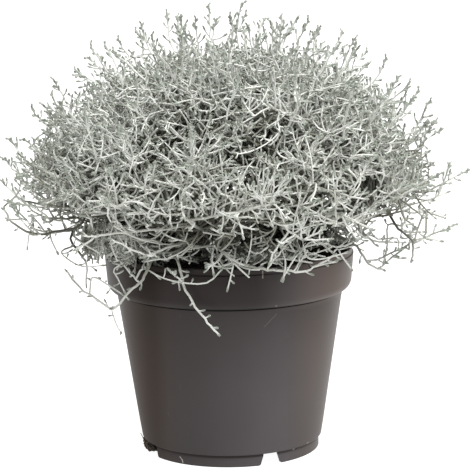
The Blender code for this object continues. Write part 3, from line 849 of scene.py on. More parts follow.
sprays = {
    "name": "sprays", "count": 30, "choices": 14, "least": 0.0020, "noted": (2, -1),
    "roots": (0.25, 1.0), "rootFrom": 0.62, "angles": (42, 80), "lean": (0.1, 0.6), "lengths": (0.012, 0.024),
    "points": 5, "lift": 0.10, "wander": 0.08, "from": 0.80, "radius": 0.00056, "taper": 0.85, "tipAge": 0.68,
    "sides": {"age": 0.66, "span": (0.20, 0.90), "angles": (45, 75), "gap": 0.9},
}
spires = {
    "name": "spires", "count": 8, "choices": 14, "least": 0.0080, "noted": (-1,), "kink": 0.0010,
    "roots": (0.25, 1.0), "stray": 0.25, "lengths": (0.020, 0.036), "points": 6, "lift": 0.10, "wander": 0.06,
    "reach": (0.98, 1.03), "rise": (0.04, 0.06), "edge": 1.1, "radius": 0.00064, "taper": 0.85,
    "budSize": 1.1,
    "sides": {"age": 0.80, "span": (0.15, 0.74), "angles": (44, 66), "gap": 0.95, "size": 1.35},
}
oldWires = {
    "count": 280, "tries": 6, "roots": (0.05, 0.8), "angles": (35, 90), "lengths": (0.016, 0.034),
    "points": 3, "lift": 0.05, "wander": 0.20, "edge": 0.80, "radius": 0.00080, "taper": 0.6,
    "ages": (0.0, 0.16), "rootAge": 0.6, "depth": 0.5, "highFrom": 0.148, "highRise": 40.0,
}
lowWires = {
    "name": "lowWires", "count": 34, "choices": 10, "least": 0.0014, "noted": (-1,),
    "roots": (0.2, 1.0), "rootsBelow": 0.014, "outward": (0.1, 0.9), "down": (0.1, 0.8), "angles": (30, 90),
    "lengths": (0.022, 0.050), "points": 6, "lift": 0.05, "wander": 0.06,
    "heights": (0.136, 0.158), "reach": 0.094, "radius": 0.00062, "taper": 0.9, "ages": (0.32, 0.44),
    "outerAge": 0.24, "outerFrom": 0.045, "outerRise": 25.0, "sides": {"span": (0.20, 0.95), "gap": 2.4},
}
rimWires = {
    "count": 200, "choices": 10, "least": 0.0010, "hostShares": (0.3, 0.6, 0.9), "azimuths": (-88, -40),
    "rootHeights": (0.148, 0.170), "rootReaches": (0.070, 0.104), "outward": (-0.2, 0.7), "down": (0.3, 1.4),
    "angles": (30, 90), "lengths": (0.012, 0.026), "points": 5, "lift": 0.03, "wander": 0.10,
    "heights": (0.1335, 0.152), "reach": 0.102, "potGap": 0.0006, "ages": (0.38, 0.62),
    "sides": {"span": (0.20, 0.95), "gap": 1.3},
}
trails = {
    "hostShares": (0.2, 0.4, 0.6, 0.8, 1.0), "pieces": 3, "radii": (0.00066, 0.00058), "ages": (0.58, 0.70),
    "budSize": 1.1, "sides": {"age": 0.64, "span": (0.25, 0.92), "gap": 1.7},
}
fills = {
    "tries": 8000, "layer": (0.70, 0.88), "depth": 0.06, "cell": 0.010, "room": 0.0061, "reach": 0.010,
    "hostShares": (0.15, 0.35, 0.55, 0.75, 0.95), "bow": 0.18, "beyond": (0.1, 0.5), "pieces": 2,
}
twiglets = {
    "gap": 0.0056, "places": (0.2, 0.8), "lengths": (0.0040, 0.0085), "shrink": (1.3, 0.65), "turn": 0.45,
    "lower": 0.45, "upper": 0.55, "radii": (0.00048, 0.00048), "budFrom": 0.70, "budSize": 0.95,
}
heads = {
    "length": 0.0098, "gap": 0.0019, "from": 0.3, "first": 0.6, "angles": (24, 38),
    "lengths": (0.0028, 0.0038), "middle": 0.4, "radii": (0.0005, 0.0006), "ages": (0.84, 0.92),
}
buds = {
    "radius": 0.00092, "radii": (0.80, 1.10), "length": 0.0042, "lengths": (0.75, 1.15), "most": 0.85,
    "middle": 0.55, "blunt": 0.62, "ages": (0.97, 1.0),
}

# Routes of thin wires that trail out of the bush: (azimuth in degrees from the front, radius, height)
trailing = (
    ((-38, 0.091, 0.139), (-29, 0.092, 0.135), (-20, 0.094, 0.133), (-9, 0.093, 0.133), (-2, 0.090, 0.143)),
    ((5, 0.084, 0.147), (-3, 0.090, 0.143), (-10, 0.092, 0.146)),
    ((3, 0.072, 0.157), (2, 0.090, 0.147), (1, 0.092, 0.139), (-1, 0.093, 0.127)),
    ((-7, 0.078, 0.156), (-7, 0.090, 0.147), (-6, 0.092, 0.137)),
    ((24, 0.080, 0.154), (24, 0.090, 0.144), (22, 0.092, 0.131)),
    ((45, 0.080, 0.153), (31, 0.088, 0.148), (27, 0.091, 0.144), (21, 0.093, 0.132)),
    ((55, 0.088, 0.146), (54, 0.092, 0.142), (61, 0.094, 0.130)),
    ((36, 0.091, 0.144), (43, 0.092, 0.143), (53, 0.100, 0.146)),
    ((-53, 0.098, 0.110), (-49, 0.099, 0.100), (-46, 0.099, 0.095)),
    ((-45, 0.088, 0.145), (-51, 0.097, 0.137), (-49, 0.097, 0.131), (-45, 0.096, 0.121)),
    ((-62, 0.103, 0.129), (-55, 0.099, 0.126), (-46, 0.096, 0.120)),
    ((-69, 0.119, 0.146), (-69, 0.116, 0.141), (-67, 0.106, 0.135), (-57, 0.097, 0.138)),
    ((-66, 0.112, 0.156), (-63, 0.105, 0.150), (-57, 0.099, 0.145)),
    ((-63, 0.109, 0.167), (-68, 0.119, 0.160), (-71, 0.126, 0.158), (-75, 0.137, 0.161)),
    ((-71, 0.120, 0.166), (-77, 0.134, 0.171), (-80, 0.145, 0.187)),
    ((-74, 0.138, 0.158), (-74, 0.140, 0.146)),
    ((-69, 0.127, 0.160), (-69, 0.126, 0.154), (-68, 0.122, 0.144)),
    ((67, 0.101, 0.158), (66, 0.108, 0.151), (67, 0.121, 0.152), (66, 0.123, 0.144)),
    ((74, 0.111, 0.158), (75, 0.110, 0.144), (75, 0.107, 0.130)),
    ((73, 0.137, 0.169), (71, 0.131, 0.151), (72, 0.137, 0.151), (74, 0.149, 0.148)),
    ((81, 0.130, 0.167), (82, 0.142, 0.162), (82, 0.148, 0.160)),
    ((85, 0.119, 0.167), (87, 0.137, 0.171), (88, 0.151, 0.176)),
)


class Crowd:
    # Keeps places of what has grown in small cells, to find how much room there is round a point.
    def __init__(self, size):
        self.size = size
        self.cells = {}

    def key(self, point):
        return tuple(int(value // self.size) for value in point)

    def add(self, point):
        self.cells.setdefault(self.key(point), []).append(point)

    def room(self, point):
        # The distance to the nearest place, up to the size of one cell.
        x, y, z = self.key(point)
        best = self.size
        for cell in [(x + i, y + j, z + k) for i in (-1, 0, 1) for j in (-1, 0, 1) for k in (-1, 0, 1)]:
            for other in self.cells.get(cell, ()):
                best = min(best, (other - point).length)
        return best


def smoothLine(points, perPiece):
    # A smooth line through the points.
    padded = [points[0] * 2 - points[1]] + list(points) + [points[-1] * 2 - points[-2]]
    line = []
    for index in range(1, len(padded) - 2):
        before, start, end, after = padded[index - 1:index + 3]
        for step in range(perPiece):
            t = step / perPiece
            square = (2 * before - 5 * start + 4 * end - after) * t * t
            cube = (3 * start - before - 3 * end + after) * t ** 3
            line.append(0.5 * (2 * start + (end - before) * t + square + cube))
    line.append(points[-1].copy())
    return line


def curlLine(rng, kind, root, direction):
    # A line that arches to one side and turns towards the light as it grows.
    points = [root.copy()]
    heading = direction.copy()
    step = rng.uniform(*kind["lengths"]) / (kind["points"] - 1)
    side = sideways(direction, math.pi / 2, rng.uniform(0, math.tau))
    arch = side * fine["arch"] * kind.get("bend", 1.0) * rng.uniform(*fine["archShares"])
    for _ in range(kind["points"] - 1):
        points.append(points[-1] + heading * step)
        lift = lightward(points[-1]) * kind["lift"]
        heading = (heading + arch + lift + strayBy(rng, kind["wander"])).normalized()
    return points


def kinked(rng, line, size=fine["kink"]):
    # The same line with small kinks along it.
    return [line[0]] + [point + strayBy(rng, size) for point in line[1:-1]] + [line[-1]]


def lengthOf(line):
    return sum((end - start).length for start, end in zip(line, line[1:]))


def clamped(value, most=1.0):
    return min(max(value, 0.0), most)


def edgeAt(point):
    # The dome's edge is uneven, and lower at the top, where the leaders stand out.
    up = max(point.z - bush["middle"], 0.0) / bush["rise"]
    return dome["edge"] - dome["topEdge"] * up + dome["lumpSize"] * noise.noise(point * dome["lumps"])


def touchesPot(point, gap=fine["potGap"]):
    return hitsPot(point, fine["radius"], gap)


def isInside(point, edge):
    # The dome's underside is hollow: the lower a point is, the nearer it stays to the pot.
    if fullness(point) > edge or touchesPot(point):
        return False
    across = math.hypot(point.x - bush["offset"], point.y) / bush["radius"]
    below = max(dome["skirt"] - point.z, 0.0)
    return below == 0.0 or across <= max(edge - below * dome["underside"], dome["leastReach"])


def staysIn(points, edge):
    return all(isInside(point, edge) for point in points[1:])


def isThin(line):
    # The dome is thinner towards its right side, with small places that nothing fine grows through.
    for point in line[2:]:
        aside = clamped((point.x - dome["thinFrom"]) * dome["thinRise"])
        share = aside * clamped((point.z - dome["thinLow"]) * dome["thinLowRise"])
        place = Vector((point.x * dome["thinSize"], 0.5, point.z * dome["thinSize"]))
        if share and noise.noise(place) > dome["thinLevel"] - dome["thinShare"] * share:
            return True
    return False


def ageAt(point):
    # Old dark wood inside the dome and under it, darkened further there as painted shade, silver felt near
    # its surface, and a duller belt low down.
    across = math.hypot(point.x, point.y)
    # Painted shade under the dome's middle, above the pot.
    below = clamped((bush["middle"] - tones["under"] - point.z) * tones["underRise"], tones["underMost"])
    below *= clamped((tones["underWithin"] - across) * tones["underEdge"])
    aside = clamped((abs(point.x) - tones["asideFrom"]) * tones["asideRise"])
    belt = max(1.0 - abs(point.z - tones["belt"]) / tones["beltHalf"], 0.0)
    belt *= tones["beltTone"] + tones["beltAside"] * aside
    # The depth term is old wood's tone and painted shade inside the dome.
    return max(min((fullness(point) - tones["deep"]) * tones["perDepth"], tones["most"]) - below - belt, 0.0)


def shadedAtSides(age, point):
    # Painted shade on growth far out at both sides, low down most of all: wires turn as dark as older wood,
    # and heads as buds.
    across = abs(point.x)
    outside = clamped((across - tones["sideFrom"]) * tones["sideRise"])
    low = clamped((tones["lowFrom"] - point.z) * tones["lowRise"])
    far = clamped((across - tones["farFrom"]) * tones["farRise"], tones["farMost"])
    change = tones["paintedSideShade"] * outside * max(low, far)
    return max(age - change, 0.0) if age < tones["budding"] else min(age + change, 1.0)


def upward(rng, kind, root, along):
    # A direction to a side of the host, turned towards the light.
    side = randomSide(rng, along, kind["angles"])
    return (side + lightward(root) * rng.uniform(*kind["lean"])).normalized()


def downward(rng, kind, root, along):
    # A direction to a side of the host, turned away from the pot's axis and down.
    outward = Vector((root.x, root.y, 0.0)).normalized() * rng.uniform(*kind["outward"])
    down = Vector((0.0, 0.0, -rng.uniform(*kind["down"])))
    return (randomSide(rng, along, kind["angles"]) + outward + down).normalized()


def rootOn(rng, kind, hosts):
    return pointOn(rng.choice(hosts), rng.uniform(*kind["roots"]))


noRoom = (None, 0.0)


def trySpray(rng, crowd, shoot):
    # An outer wire at a wide angle.
    root, along = rootOn(rng, sprays, shoot["hosts"])
    if fullness(root) < sprays["rootFrom"]:
        return noRoom
    line = curlLine(rng, sprays, root, upward(rng, sprays, root, along))
    if fullness(line[-1]) < sprays["from"] or not staysIn(line, edgeAt(line[-1])) or isThin(line):
        return noRoom
    return line, crowd.room(line[-1])


def trySpire(rng, tips, shoot):
    # An upright leader that stands out of the dome's surface.
    root, _ = rootOn(rng, spires, shoot["hosts"])
    up = max(root.z - bush["middle"], 0.0) / bush["rise"]
    direction = (lightward(root) + strayBy(rng, spires["stray"])).normalized()
    line = curlLine(rng, spires, root, direction)
    nearest, furthest = (reach + rise * up for reach, rise in zip(spires["reach"], spires["rise"]))
    if not nearest < fullness(line[-1]) < furthest or not staysIn(line, spires["edge"]):
        return noRoom
    return line, tips.room(line[-1])


def tryWire(rng, crowd, shoot):
    # A long arching wire.
    root, along = rootOn(rng, wires, shoot["hosts"])
    line = curlLine(rng, wires, root, upward(rng, wires, root, along))
    far = fullness(line[-1])
    if far < wires["from"] or not staysIn(line, edgeAt(line[-1]) + wires["beyond"]) or isThin(line):
        return noRoom
    return line, (crowd.room(line[-1]) + crowd.room(line[3])) * (wires["depth"] + far)


def tryLowWire(rng, crowd, shoot):
    # A wire that leans out low over the soil and the rim.
    root, along = rootOn(rng, lowWires, shoot["lowHosts"] + shoot["lowWires"])
    if root.z > bush["middle"] + lowWires["rootsBelow"]:
        return noRoom
    line = curlLine(rng, lowWires, root, downward(rng, lowWires, root, along))
    end = line[-1]
    lowest, highest = lowWires["heights"]
    if min(point.z for point in line) <= lowest or end.z > highest:
        return noRoom
    if math.hypot(end.x, end.y) > lowWires["reach"] or any(touchesPot(point) for point in line[1:]):
        return noRoom
    return line, crowd.room(end)


def tryRimWire(rng, crowd, places):
    # A wire that hangs before the rim at the left.
    shoot, root, along = rng.choice(places)
    line = curlLine(rng, rimWires, root, downward(rng, rimWires, root, along))
    end = line[-1]
    lowest, highest = rimWires["heights"]
    if not lowest < min(point.z for point in line) < highest or math.hypot(end.x, end.y) > rimWires["reach"]:
        return noRoom
    if any(touchesPot(point, rimWires["potGap"]) for point in line[1:]):
        return noRoom
    return (shoot, line), crowd.room(end)


def roomiest(kind, choose, *given):
    # The roomiest of several choices, each of them what would grow and its room.
    best, bestRoom = None, kind["least"]
    for _ in range(kind["choices"]):
        grown, room = choose(*given)
        if room > bestRoom:
            best, bestRoom = grown, room
    return best


def growEach(rng, crowd, shoots, kind, choose):
    # Every shoot in turn gets one more wire of the kind, so that the shoots share the room evenly.
    for _ in range(kind["count"]):
        for shoot in shoots:
            line = roomiest(kind, choose, rng, crowd, shoot)
            if line:
                for index in kind["noted"]:
                    crowd.add(line[index])
                shoot[kind["name"]].append(kinked(rng, line, kind["kink"]) if "kink" in kind else line)


def rimPlaces(shoots):
    # Places on the shoots near the left part of the rim: the shoot, the place, and the direction there.
    places = []
    first, last = rimWires["azimuths"]
    low, high = rimWires["rootHeights"]
    near, far = rimWires["rootReaches"]
    for shoot in shoots:
        for line in shoot["boughLines"] + shoot["wires"] + shoot["longWires"]:
            for share in rimWires["hostShares"]:
                root, along = pointOn(line, share)
                azimuth = math.degrees(math.atan2(root.x, -root.y))
                if first < azimuth < last and low < root.z < high and near < math.hypot(root.x, root.y) < far:
                    places.append((shoot, root, along))
    return places


def growRimWires(rng, crowd, shoots):
    places = rimPlaces(shoots)
    for _ in range(rimWires["count"]):
        grown = roomiest(rimWires, tryRimWire, rng, crowd, places)
        if grown:
            shoot, line = grown
            crowd.add(line[-1])
            shoot["rimWires"].append(line)


def growLongWire(rng, stem):
    # A long bare wire that leaves the stem, sweeps sideways and curves up at its end.
    for _ in range(longWires["tries"]):
        root, along = pointOn(stem, rng.uniform(*longWires["roots"]))
        line = curlLine(rng, longWires, root, randomSide(rng, along, longWires["angles"]))
        if staysIn(line, longWires["edge"]) and fullness(line[-1]) > longWires["from"]:
            return line
    return None


def growOldWire(rng, hosts):
    # A short dark wire among the stems; its dark tone also stands in for shade deep inside the dome.
    for _ in range(oldWires["tries"]):
        root, along = rootOn(rng, oldWires, hosts)
        line = curlLine(rng, oldWires, root, randomSide(rng, along, oldWires["angles"]))
        if staysIn(line, oldWires["edge"]) and not isThin(line[:1] + line):
            return line
    return None


def emptyPlaces(rng, crowd):
    # Places in the dome's outer layer that nothing has grown near, outside its thin part.
    places = []
    for _ in range(fills["tries"]):
        heading = Vector([rng.gauss(0.0, 1.0) for _ in range(3)]).normalized()
        share = rng.uniform(*fills["layer"])
        place = Vector((bush["offset"] + heading.x * bush["radius"] * share,
                        heading.y * bush["radius"] * share,
                        bush["middle"] + abs(heading.z) * bush["rise"] * share))
        if place.x > dome["thinFrom"] and place.z > dome["skirt"]:
            continue
        if isInside(place, edgeAt(place) - fills["depth"]) and crowd.room(place) > fills["room"]:
            places.append(place)
            crowd.add(place)
    return places


def fillPlaces(rng, shoots):
    # Grows a curving wire into each empty place, from the nearest line of any shoot.
    crowd = Crowd(fills["cell"])
    roots, owners = [], []
    for shoot in shoots:
        for line in shoot["boughLines"] + shoot["twigLines"] + shoot["wires"] + shoot["longWires"]:
            for share in fills["hostShares"]:
                root, _ = pointOn(line, share)
                roots.append(tuple(root))
                owners.append(shoot)
                crowd.add(root)
        for line in shoot["sprays"]:
            crowd.add(line[2])
            crowd.add(line[-1])
    roots = np.array(roots)
    places = emptyPlaces(rng, crowd)
    for place in places:
        gaps = np.sqrt(np.sum((roots - np.array(place)) ** 2, axis=1))
        nearest = int(np.argmin(np.where(gaps > fills["reach"], gaps, 1.0)))
        root = Vector(roots[nearest])
        across = place - root
        side = sideways(across.normalized(), math.pi / 2, rng.uniform(0, math.tau))
        bow = side * across.length * fills["bow"]
        end = place + across * rng.uniform(*fills["beyond"])
        line = smoothLine([root, root.lerp(place, 0.5) + bow, place, end], fills["pieces"])
        owners[nearest]["wires"].append(line)
    print("empty places filled:", len(places))


def addTrailing(shoots):
    # Each trailing wire starts from the nearest line of any shoot.
    for route in trailing:
        line = [fromFront(math.radians(azimuth), radius, height) for azimuth, radius, height in route]
        nearest = None
        for shoot in shoots:
            for host in shoot["boughLines"] + shoot["twigLines"]:
                for share in trails["hostShares"]:
                    root, _ = pointOn(host, share)
                    gap = (root - line[0]).length
                    if nearest is None or gap < nearest[0]:
                        nearest = (gap, root, shoot)
        nearest[2]["trailing"].append(smoothLine([nearest[1]] + line, trails["pieces"]))


def isLeader(end):
    return fullness(end) > leader["reach"][0]


def nearestOn(point, lines):
    # The nearest of many places along the lines.
    count = wood["places"]
    places = [pointOn(line, step / count)[0] for line in lines for step in range(count + 1)]
    return min(places, key=lambda place: (place - point).length)


def layLines(rng, shoot):
    # The stem, boughs and twigs as finished lines: smooth with small kinks, and each twig sags a little.
    shoot["stemLine"] = smoothLine(shoot["stem"][1:], wood["pieces"])
    shoot["boughLines"], shoot["twigLines"] = [], []
    for bough in shoot["boughs"]:
        root = nearestOn(bough[0], [shoot["stemLine"]])
        shoot["boughLines"].append(kinked(rng, smoothLine([root] + bough[1:], wood["pieces"])))
    for start, end in shoot["twigs"]:
        root = nearestOn(start, [shoot["stemLine"]] + shoot["boughLines"])
        middle = root.lerp(end, 0.5)
        sag = (lightward(middle) + strayBy(rng, wood["sagStray"])) * (end - root).length
        sag = sag * rng.uniform(*wood["sags"])
        size = spires["kink"] if isLeader(end) else fine["kink"]
        line = smoothLine([root, middle - sag, end], wood["twigPieces"])
        shoot["twigLines"].append(kinked(rng, line, size))


def dressShoots(shoots):
    rng = random.Random(fine["seed"])
    crowd = Crowd(fine["cell"])
    for shoot in shoots:
        layLines(rng, shoot)
        tried = [growLongWire(rng, shoot["stemLine"]) for _ in range(longWires["count"])]
        shoot["longWires"] = [line for line in tried if line]
        for name in ("wires", "sprays", "spires", "trailing", "lowWires", "rimWires"):
            shoot[name] = []
        shoot["hosts"] = shoot["boughLines"] * 3 + shoot["longWires"] * 3 + shoot["twigLines"]
        for twig in shoot["twigs"]:
            crowd.add(twig[-1])
    growEach(rng, crowd, shoots, wires, tryWire)
    for shoot in shoots:
        shoot["hosts"] += shoot["wires"] + shoot["twigLines"]
    growEach(rng, crowd, shoots, sprays, trySpray)
    fillPlaces(rng, shoots)
    addTrailing(shoots)
    tips = Crowd(fine["tipCell"])
    for shoot in shoots:
        for twig in shoot["twigs"]:
            if isLeader(twig[-1]):
                tips.add(twig[-1])
    growEach(rng, tips, shoots, spires, trySpire)
    for shoot in shoots:
        inner = [shoot["stemLine"]] * 3 + shoot["boughLines"] * 2 + shoot["longWires"]
        tried = [growOldWire(rng, inner) for _ in range(oldWires["count"])]
        shoot["oldWires"] = [line for line in tried if line]
        shoot["lowHosts"] = [shoot["stemLine"]] * 3 + shoot["boughLines"]
    growEach(rng, crowd, shoots, lowWires, tryLowWire)
    growRimWires(rng, crowd, shoots)


def addStrand(strands, points, radii, ages, bud=None):
    # A strand is its points with a radius and an age at each. A bud is a longish swelling at its end.
    count = len(points) - 1
    shares = [index / count for index in range(count + 1)]
    thickness = [blend(radii, share) for share in shares]
    grown = [shadedAtSides(blend(ages, share), point) for share, point in zip(shares, points)]
    if bud:
        budRadius, budLength = bud
        end = points[-1]
        along = end - points[-2]
        length = min(budLength, along.length * buds["most"])
        along.normalize()
        points = points[:-1] + [end - along * length, end - along * length * buds["middle"], end]
        thickness = thickness[:-1] + [radii[1], budRadius, budRadius * buds["blunt"]]
        grown = grown[:-1] + [ages[1], *buds["ages"]]
    strands.append((points, thickness, grown))


def budFor(rng, size=1.0):
    radius = buds["radius"] * rng.uniform(*buds["radii"]) * size
    return (radius, buds["length"] * rng.uniform(*buds["lengths"]) * size)


def addTwiglets(rng, strands, host, age, span, angles=(50, 80), gap=1.0, size=1.0):
    # Short side shoots at even gaps, each a golden angle round from the last. Their ends turn up.
    first, last = span
    largest, shrink = twiglets["shrink"]
    count = max(1, round(lengthOf(host) * (last - first) / (twiglets["gap"] * gap)))
    roll = rng.uniform(0, math.tau)
    for index in range(count):
        share = first + (last - first) * (index + rng.uniform(*twiglets["places"])) / count
        root, along = pointOn(host, share)
        roll += goldenAngle
        direction = sideways(along, math.radians(rng.uniform(*angles)), roll)
        reach = rng.uniform(*twiglets["lengths"]) * (largest - shrink * share) * size
        middle = root + direction * reach * twiglets["lower"]
        turned = (direction + lightward(root) * twiglets["turn"]).normalized()
        end = middle + turned * reach * twiglets["upper"]
        if touchesPot(end):
            continue
        ages, bud = (age, age), None
        if fullness(end) > twiglets["budFrom"]:
            ages, bud = (age, tones["heads"]), budFor(rng, twiglets["budSize"])
        addStrand(strands, [root, middle, end], twiglets["radii"], ages, bud)


def addHead(rng, strands, host):
    # A slender head of close buds, over the last stretch of a leader.
    length = lengthOf(host)
    count = int(heads["length"] / heads["gap"])
    roll = rng.uniform(0, math.tau)
    for index in range(count):
        share = 1 - heads["length"] * (index + heads["first"]) / count / length
        root, along = pointOn(host, max(share, heads["from"]))
        roll += goldenAngle
        side = sideways(along, math.radians(rng.uniform(*heads["angles"])), roll)
        end = root + side * rng.uniform(*heads["lengths"])
        line = [root, root.lerp(end, heads["middle"]), end]
        addStrand(strands, line, heads["radii"], heads["ages"], budFor(rng))


def addSpire(rng, strands, line, radius):
    # A leader: side shoots along its lower part, and a head of close buds.
    ages = (ageAt(line[0]), tones["heads"])
    addStrand(strands, line, (radius, radius * spires["taper"]), ages, budFor(rng, spires["budSize"]))
    addTwiglets(rng, strands, line, **spires["sides"])
    addHead(rng, strands, line)


def addWood(rng, shoot, thick, thin):
    # The stem, boughs and twigs of a shoot, with buds at the tips and leaders out of the dome.
    stemRadii = (stems["radius"], stems["tip"])
    addStrand(thick, [shoot["stem"][0]] + shoot["stemLine"], stemRadii, wood["stemAges"])
    for bough, line in zip(shoot["boughs"], shoot["boughLines"]):
        hangs = any(bough is one for one in shoot["hanging"])
        tipAge = wood["hangingAge"] if hangs else max(ageAt(line[-1]), wood["boughAge"])
        addStrand(thick, line, (boughs["radius"], wood["boughTip"]), (ageAt(line[0]), tipAge), budFor(rng))
        if hangs:
            addTwiglets(rng, thin, line[wood["pieces"]:], **wood["hangingSides"])
    for line in shoot["twigLines"]:
        root, end = line[0], line[-1]
        if isLeader(end):
            addSpire(rng, thin, line, wood["leaderRadius"])
            continue
        outside = fullness(end) > dome["outside"]
        tipAge = tones["pale"] if outside else ageAt(end)
        addStrand(thick, line, wood["twigRadii"], (ageAt(root), tipAge), budFor(rng) if outside else None)
        addTwiglets(rng, thin, line, ageAt(end), wood["twigSpan"])


def addWires(rng, shoot, thick, thin):
    # The bare wires of a shoot, long and short, and the dark old ones inside.
    radius, least = longWires["radius"], longWires["ages"]
    for wire in shoot["longWires"]:
        ages = (max(ageAt(wire[1]), least[0]), max(ageAt(wire[-1]), least[1]))
        addStrand(thick, wire, (radius, radius * longWires["taper"]), ages)
    for wire in shoot["wires"]:
        radius = wires["radius"] * rng.uniform(*wires["sizes"])
        outside = fullness(wire[-1]) > dome["outside"]
        ages = (ageAt(wire[0]), tones["pale"] if outside else ageAt(wire[-1]))
        addStrand(thin, wire, (radius, radius * wires["taper"]), ages, budFor(rng) if outside else None)
        gap = wires["lowGap"] if wire[3].z < dome["skirt"] else 1.0
        addTwiglets(rng, thin, wire, max(ageAt(wire[3]), wires["sideAge"]), wires["sideSpan"], gap=gap)
    radius = oldWires["radius"]
    for wire in shoot["oldWires"]:
        # Painted shade: old wires that end low in the dome are darker.
        high = clamped((wire[-1].z - oldWires["highFrom"]) * oldWires["highRise"])
        age = (rng.uniform(*oldWires["ages"]) + oldWires["depth"] * ageAt(wire[-1])) * high
        addStrand(thin, wire, (radius, radius * oldWires["taper"]), (age * oldWires["rootAge"], age))


def addOuterWires(rng, shoot, thin):
    # The wires low over the rim, the sprays and spires of the dome's surface, and the trailing wires.
    lowRadii = (lowWires["radius"], lowWires["radius"] * lowWires["taper"])
    for wire in shoot["lowWires"]:
        fromAxis = math.hypot(wire[-1].x, wire[-1].y)
        outer = clamped((fromAxis - lowWires["outerFrom"]) * lowWires["outerRise"])
        age = rng.uniform(*lowWires["ages"]) + lowWires["outerAge"] * outer
        addStrand(thin, wire, lowRadii, (min(ageAt(wire[0]), age), age))
        addTwiglets(rng, thin, wire, age, **lowWires["sides"])
    for wire in shoot["rimWires"]:
        age = rng.uniform(*rimWires["ages"])
        addStrand(thin, wire, lowRadii, (age, age))
        addTwiglets(rng, thin, wire, age, **rimWires["sides"])
    radius = sprays["radius"]
    for spray in shoot["sprays"]:
        ages = (ageAt(spray[0]), sprays["tipAge"])
        addStrand(thin, spray, (radius, radius * sprays["taper"]), ages, budFor(rng))
        addTwiglets(rng, thin, spray, **sprays["sides"])
    for spire in shoot["spires"]:
        addSpire(rng, thin, spire, spires["radius"])
    for wire in shoot["trailing"]:
        addStrand(thin, wire, trails["radii"], trails["ages"], budFor(rng, trails["budSize"]))
        addTwiglets(rng, thin, wire, **trails["sides"])


def strandMesh(name, strands, resolution):
    # One curve with a spline for each strand gives the tubes, and the ages are laid over its vertices.
    curve = bpy.data.curves.new(name, "CURVE")
    curve.dimensions = "3D"
    curve.bevel_depth = 1.0
    curve.bevel_resolution = resolution
    curve.use_fill_caps = True
    for points, radii, _ in strands:
        spline = curve.splines.new("POLY")
        spline.points.add(len(points) - 1)
        spline.points.foreach_set("co", [value for point in points for value in (*point, 1.0)])
        spline.points.foreach_set("radius", radii)
    holder = bpy.data.objects.new(name, curve)
    bpy.context.scene.collection.objects.link(holder)
    depsgraph = bpy.context.evaluated_depsgraph_get()
    mesh = bpy.data.meshes.new_from_object(holder.evaluated_get(depsgraph))
    bpy.data.objects.remove(holder)
    bpy.data.curves.remove(curve)
    # The end caps come first, from the last strand to the first, and then the sides. A bevel of this
    # resolution makes a tube with 4 + 2 * resolution sides.
    sides = 4 + 2 * resolution
    capAges = [age for _, _, ages in reversed(strands) for age in (ages[-1], ages[0])]
    sideAges = [age for _, _, ages in strands for age in ages]
    layer = mesh.attributes.new("age", "FLOAT", "POINT")
    layer.data.foreach_set("value", np.repeat(np.array(capAges + sideAges, np.float32), sides))
    return mesh


felt = {
    "patches": (45.0, 2.0), "patchTone": 0.16, "wool": (2600.0, 3.0, 0.7),
    "woolSpan": (0.35, 0.70, 0.90, 1.12), "rough": 0.80, "woolRough": 0.15, "bump": (0.35, 0.0002),
    "sheen": 0.25, "sheenRough": 0.5,
    "stops": [
        (0.00, (0.022, 0.020, 0.012)), (0.18, (0.060, 0.058, 0.038)), (0.34, (0.19, 0.19, 0.152)),
        (0.50, (0.52, 0.53, 0.485)), (0.66, (0.61, 0.62, 0.58)), (0.82, (0.44, 0.46, 0.42)),
        (1.00, (0.22, 0.24, 0.20))],
}


def feltPaint():
    paint = Paint("silverFelt", roughness=0.88)
    spot = paint.place()
    age = paint.node("ShaderNodeAttribute", {"attribute_name": "age"}, {}, 2)
    patch = paint.speckle(spot, *felt["patches"])
    wool = paint.speckle(spot, *felt["wool"])
    tone = paint.ramp(age + (patch - 0.5) * felt["patchTone"], felt["stops"])
    dusting = paint.span(wool, *felt["woolSpan"])
    paint.set("Base Color", paint.mix(dusting, tint(0, 0, 0), tone))
    paint.set("Roughness", felt["rough"] + wool * felt["woolRough"])
    paint.set("Normal", paint.bump(wool, *felt["bump"]))
    paint.set("Sheen Weight", felt["sheen"])
    paint.set("Sheen Roughness", felt["sheenRough"])
    return paint.material


def makeBush(shoots):
    material = feltPaint()
    dressShoots(shoots)
    total = 0
    for index, shoot in enumerate(shoots):
        rng = random.Random(fine["seed"] + index)
        thick, thin = [], []
        addWood(rng, shoot, thick, thin)
        addWires(rng, shoot, thick, thin)
        addOuterWires(rng, shoot, thin)
        shape = bmesh.new()
        shape.from_mesh(strandMesh("thick", thick, fine["thickRounding"]))
        shape.from_mesh(strandMesh("thin", thin, fine["thinRounding"]))
        bmesh.ops.remove_doubles(shape, verts=shape.verts, dist=weldGap)
        name = f"bushShoot{index + 1:02d}"
        mesh = meshFrom(shape, name, angle=fine["sharpAngle"])
        total += sum(len(face.vertices) - 2 for face in mesh.polygons)
        finishPiece(name, mesh, [f"shoot_{index + 1:02d}"], material)
    print("bush made:", total, "triangles")


makeBush(shoots)


# Soil

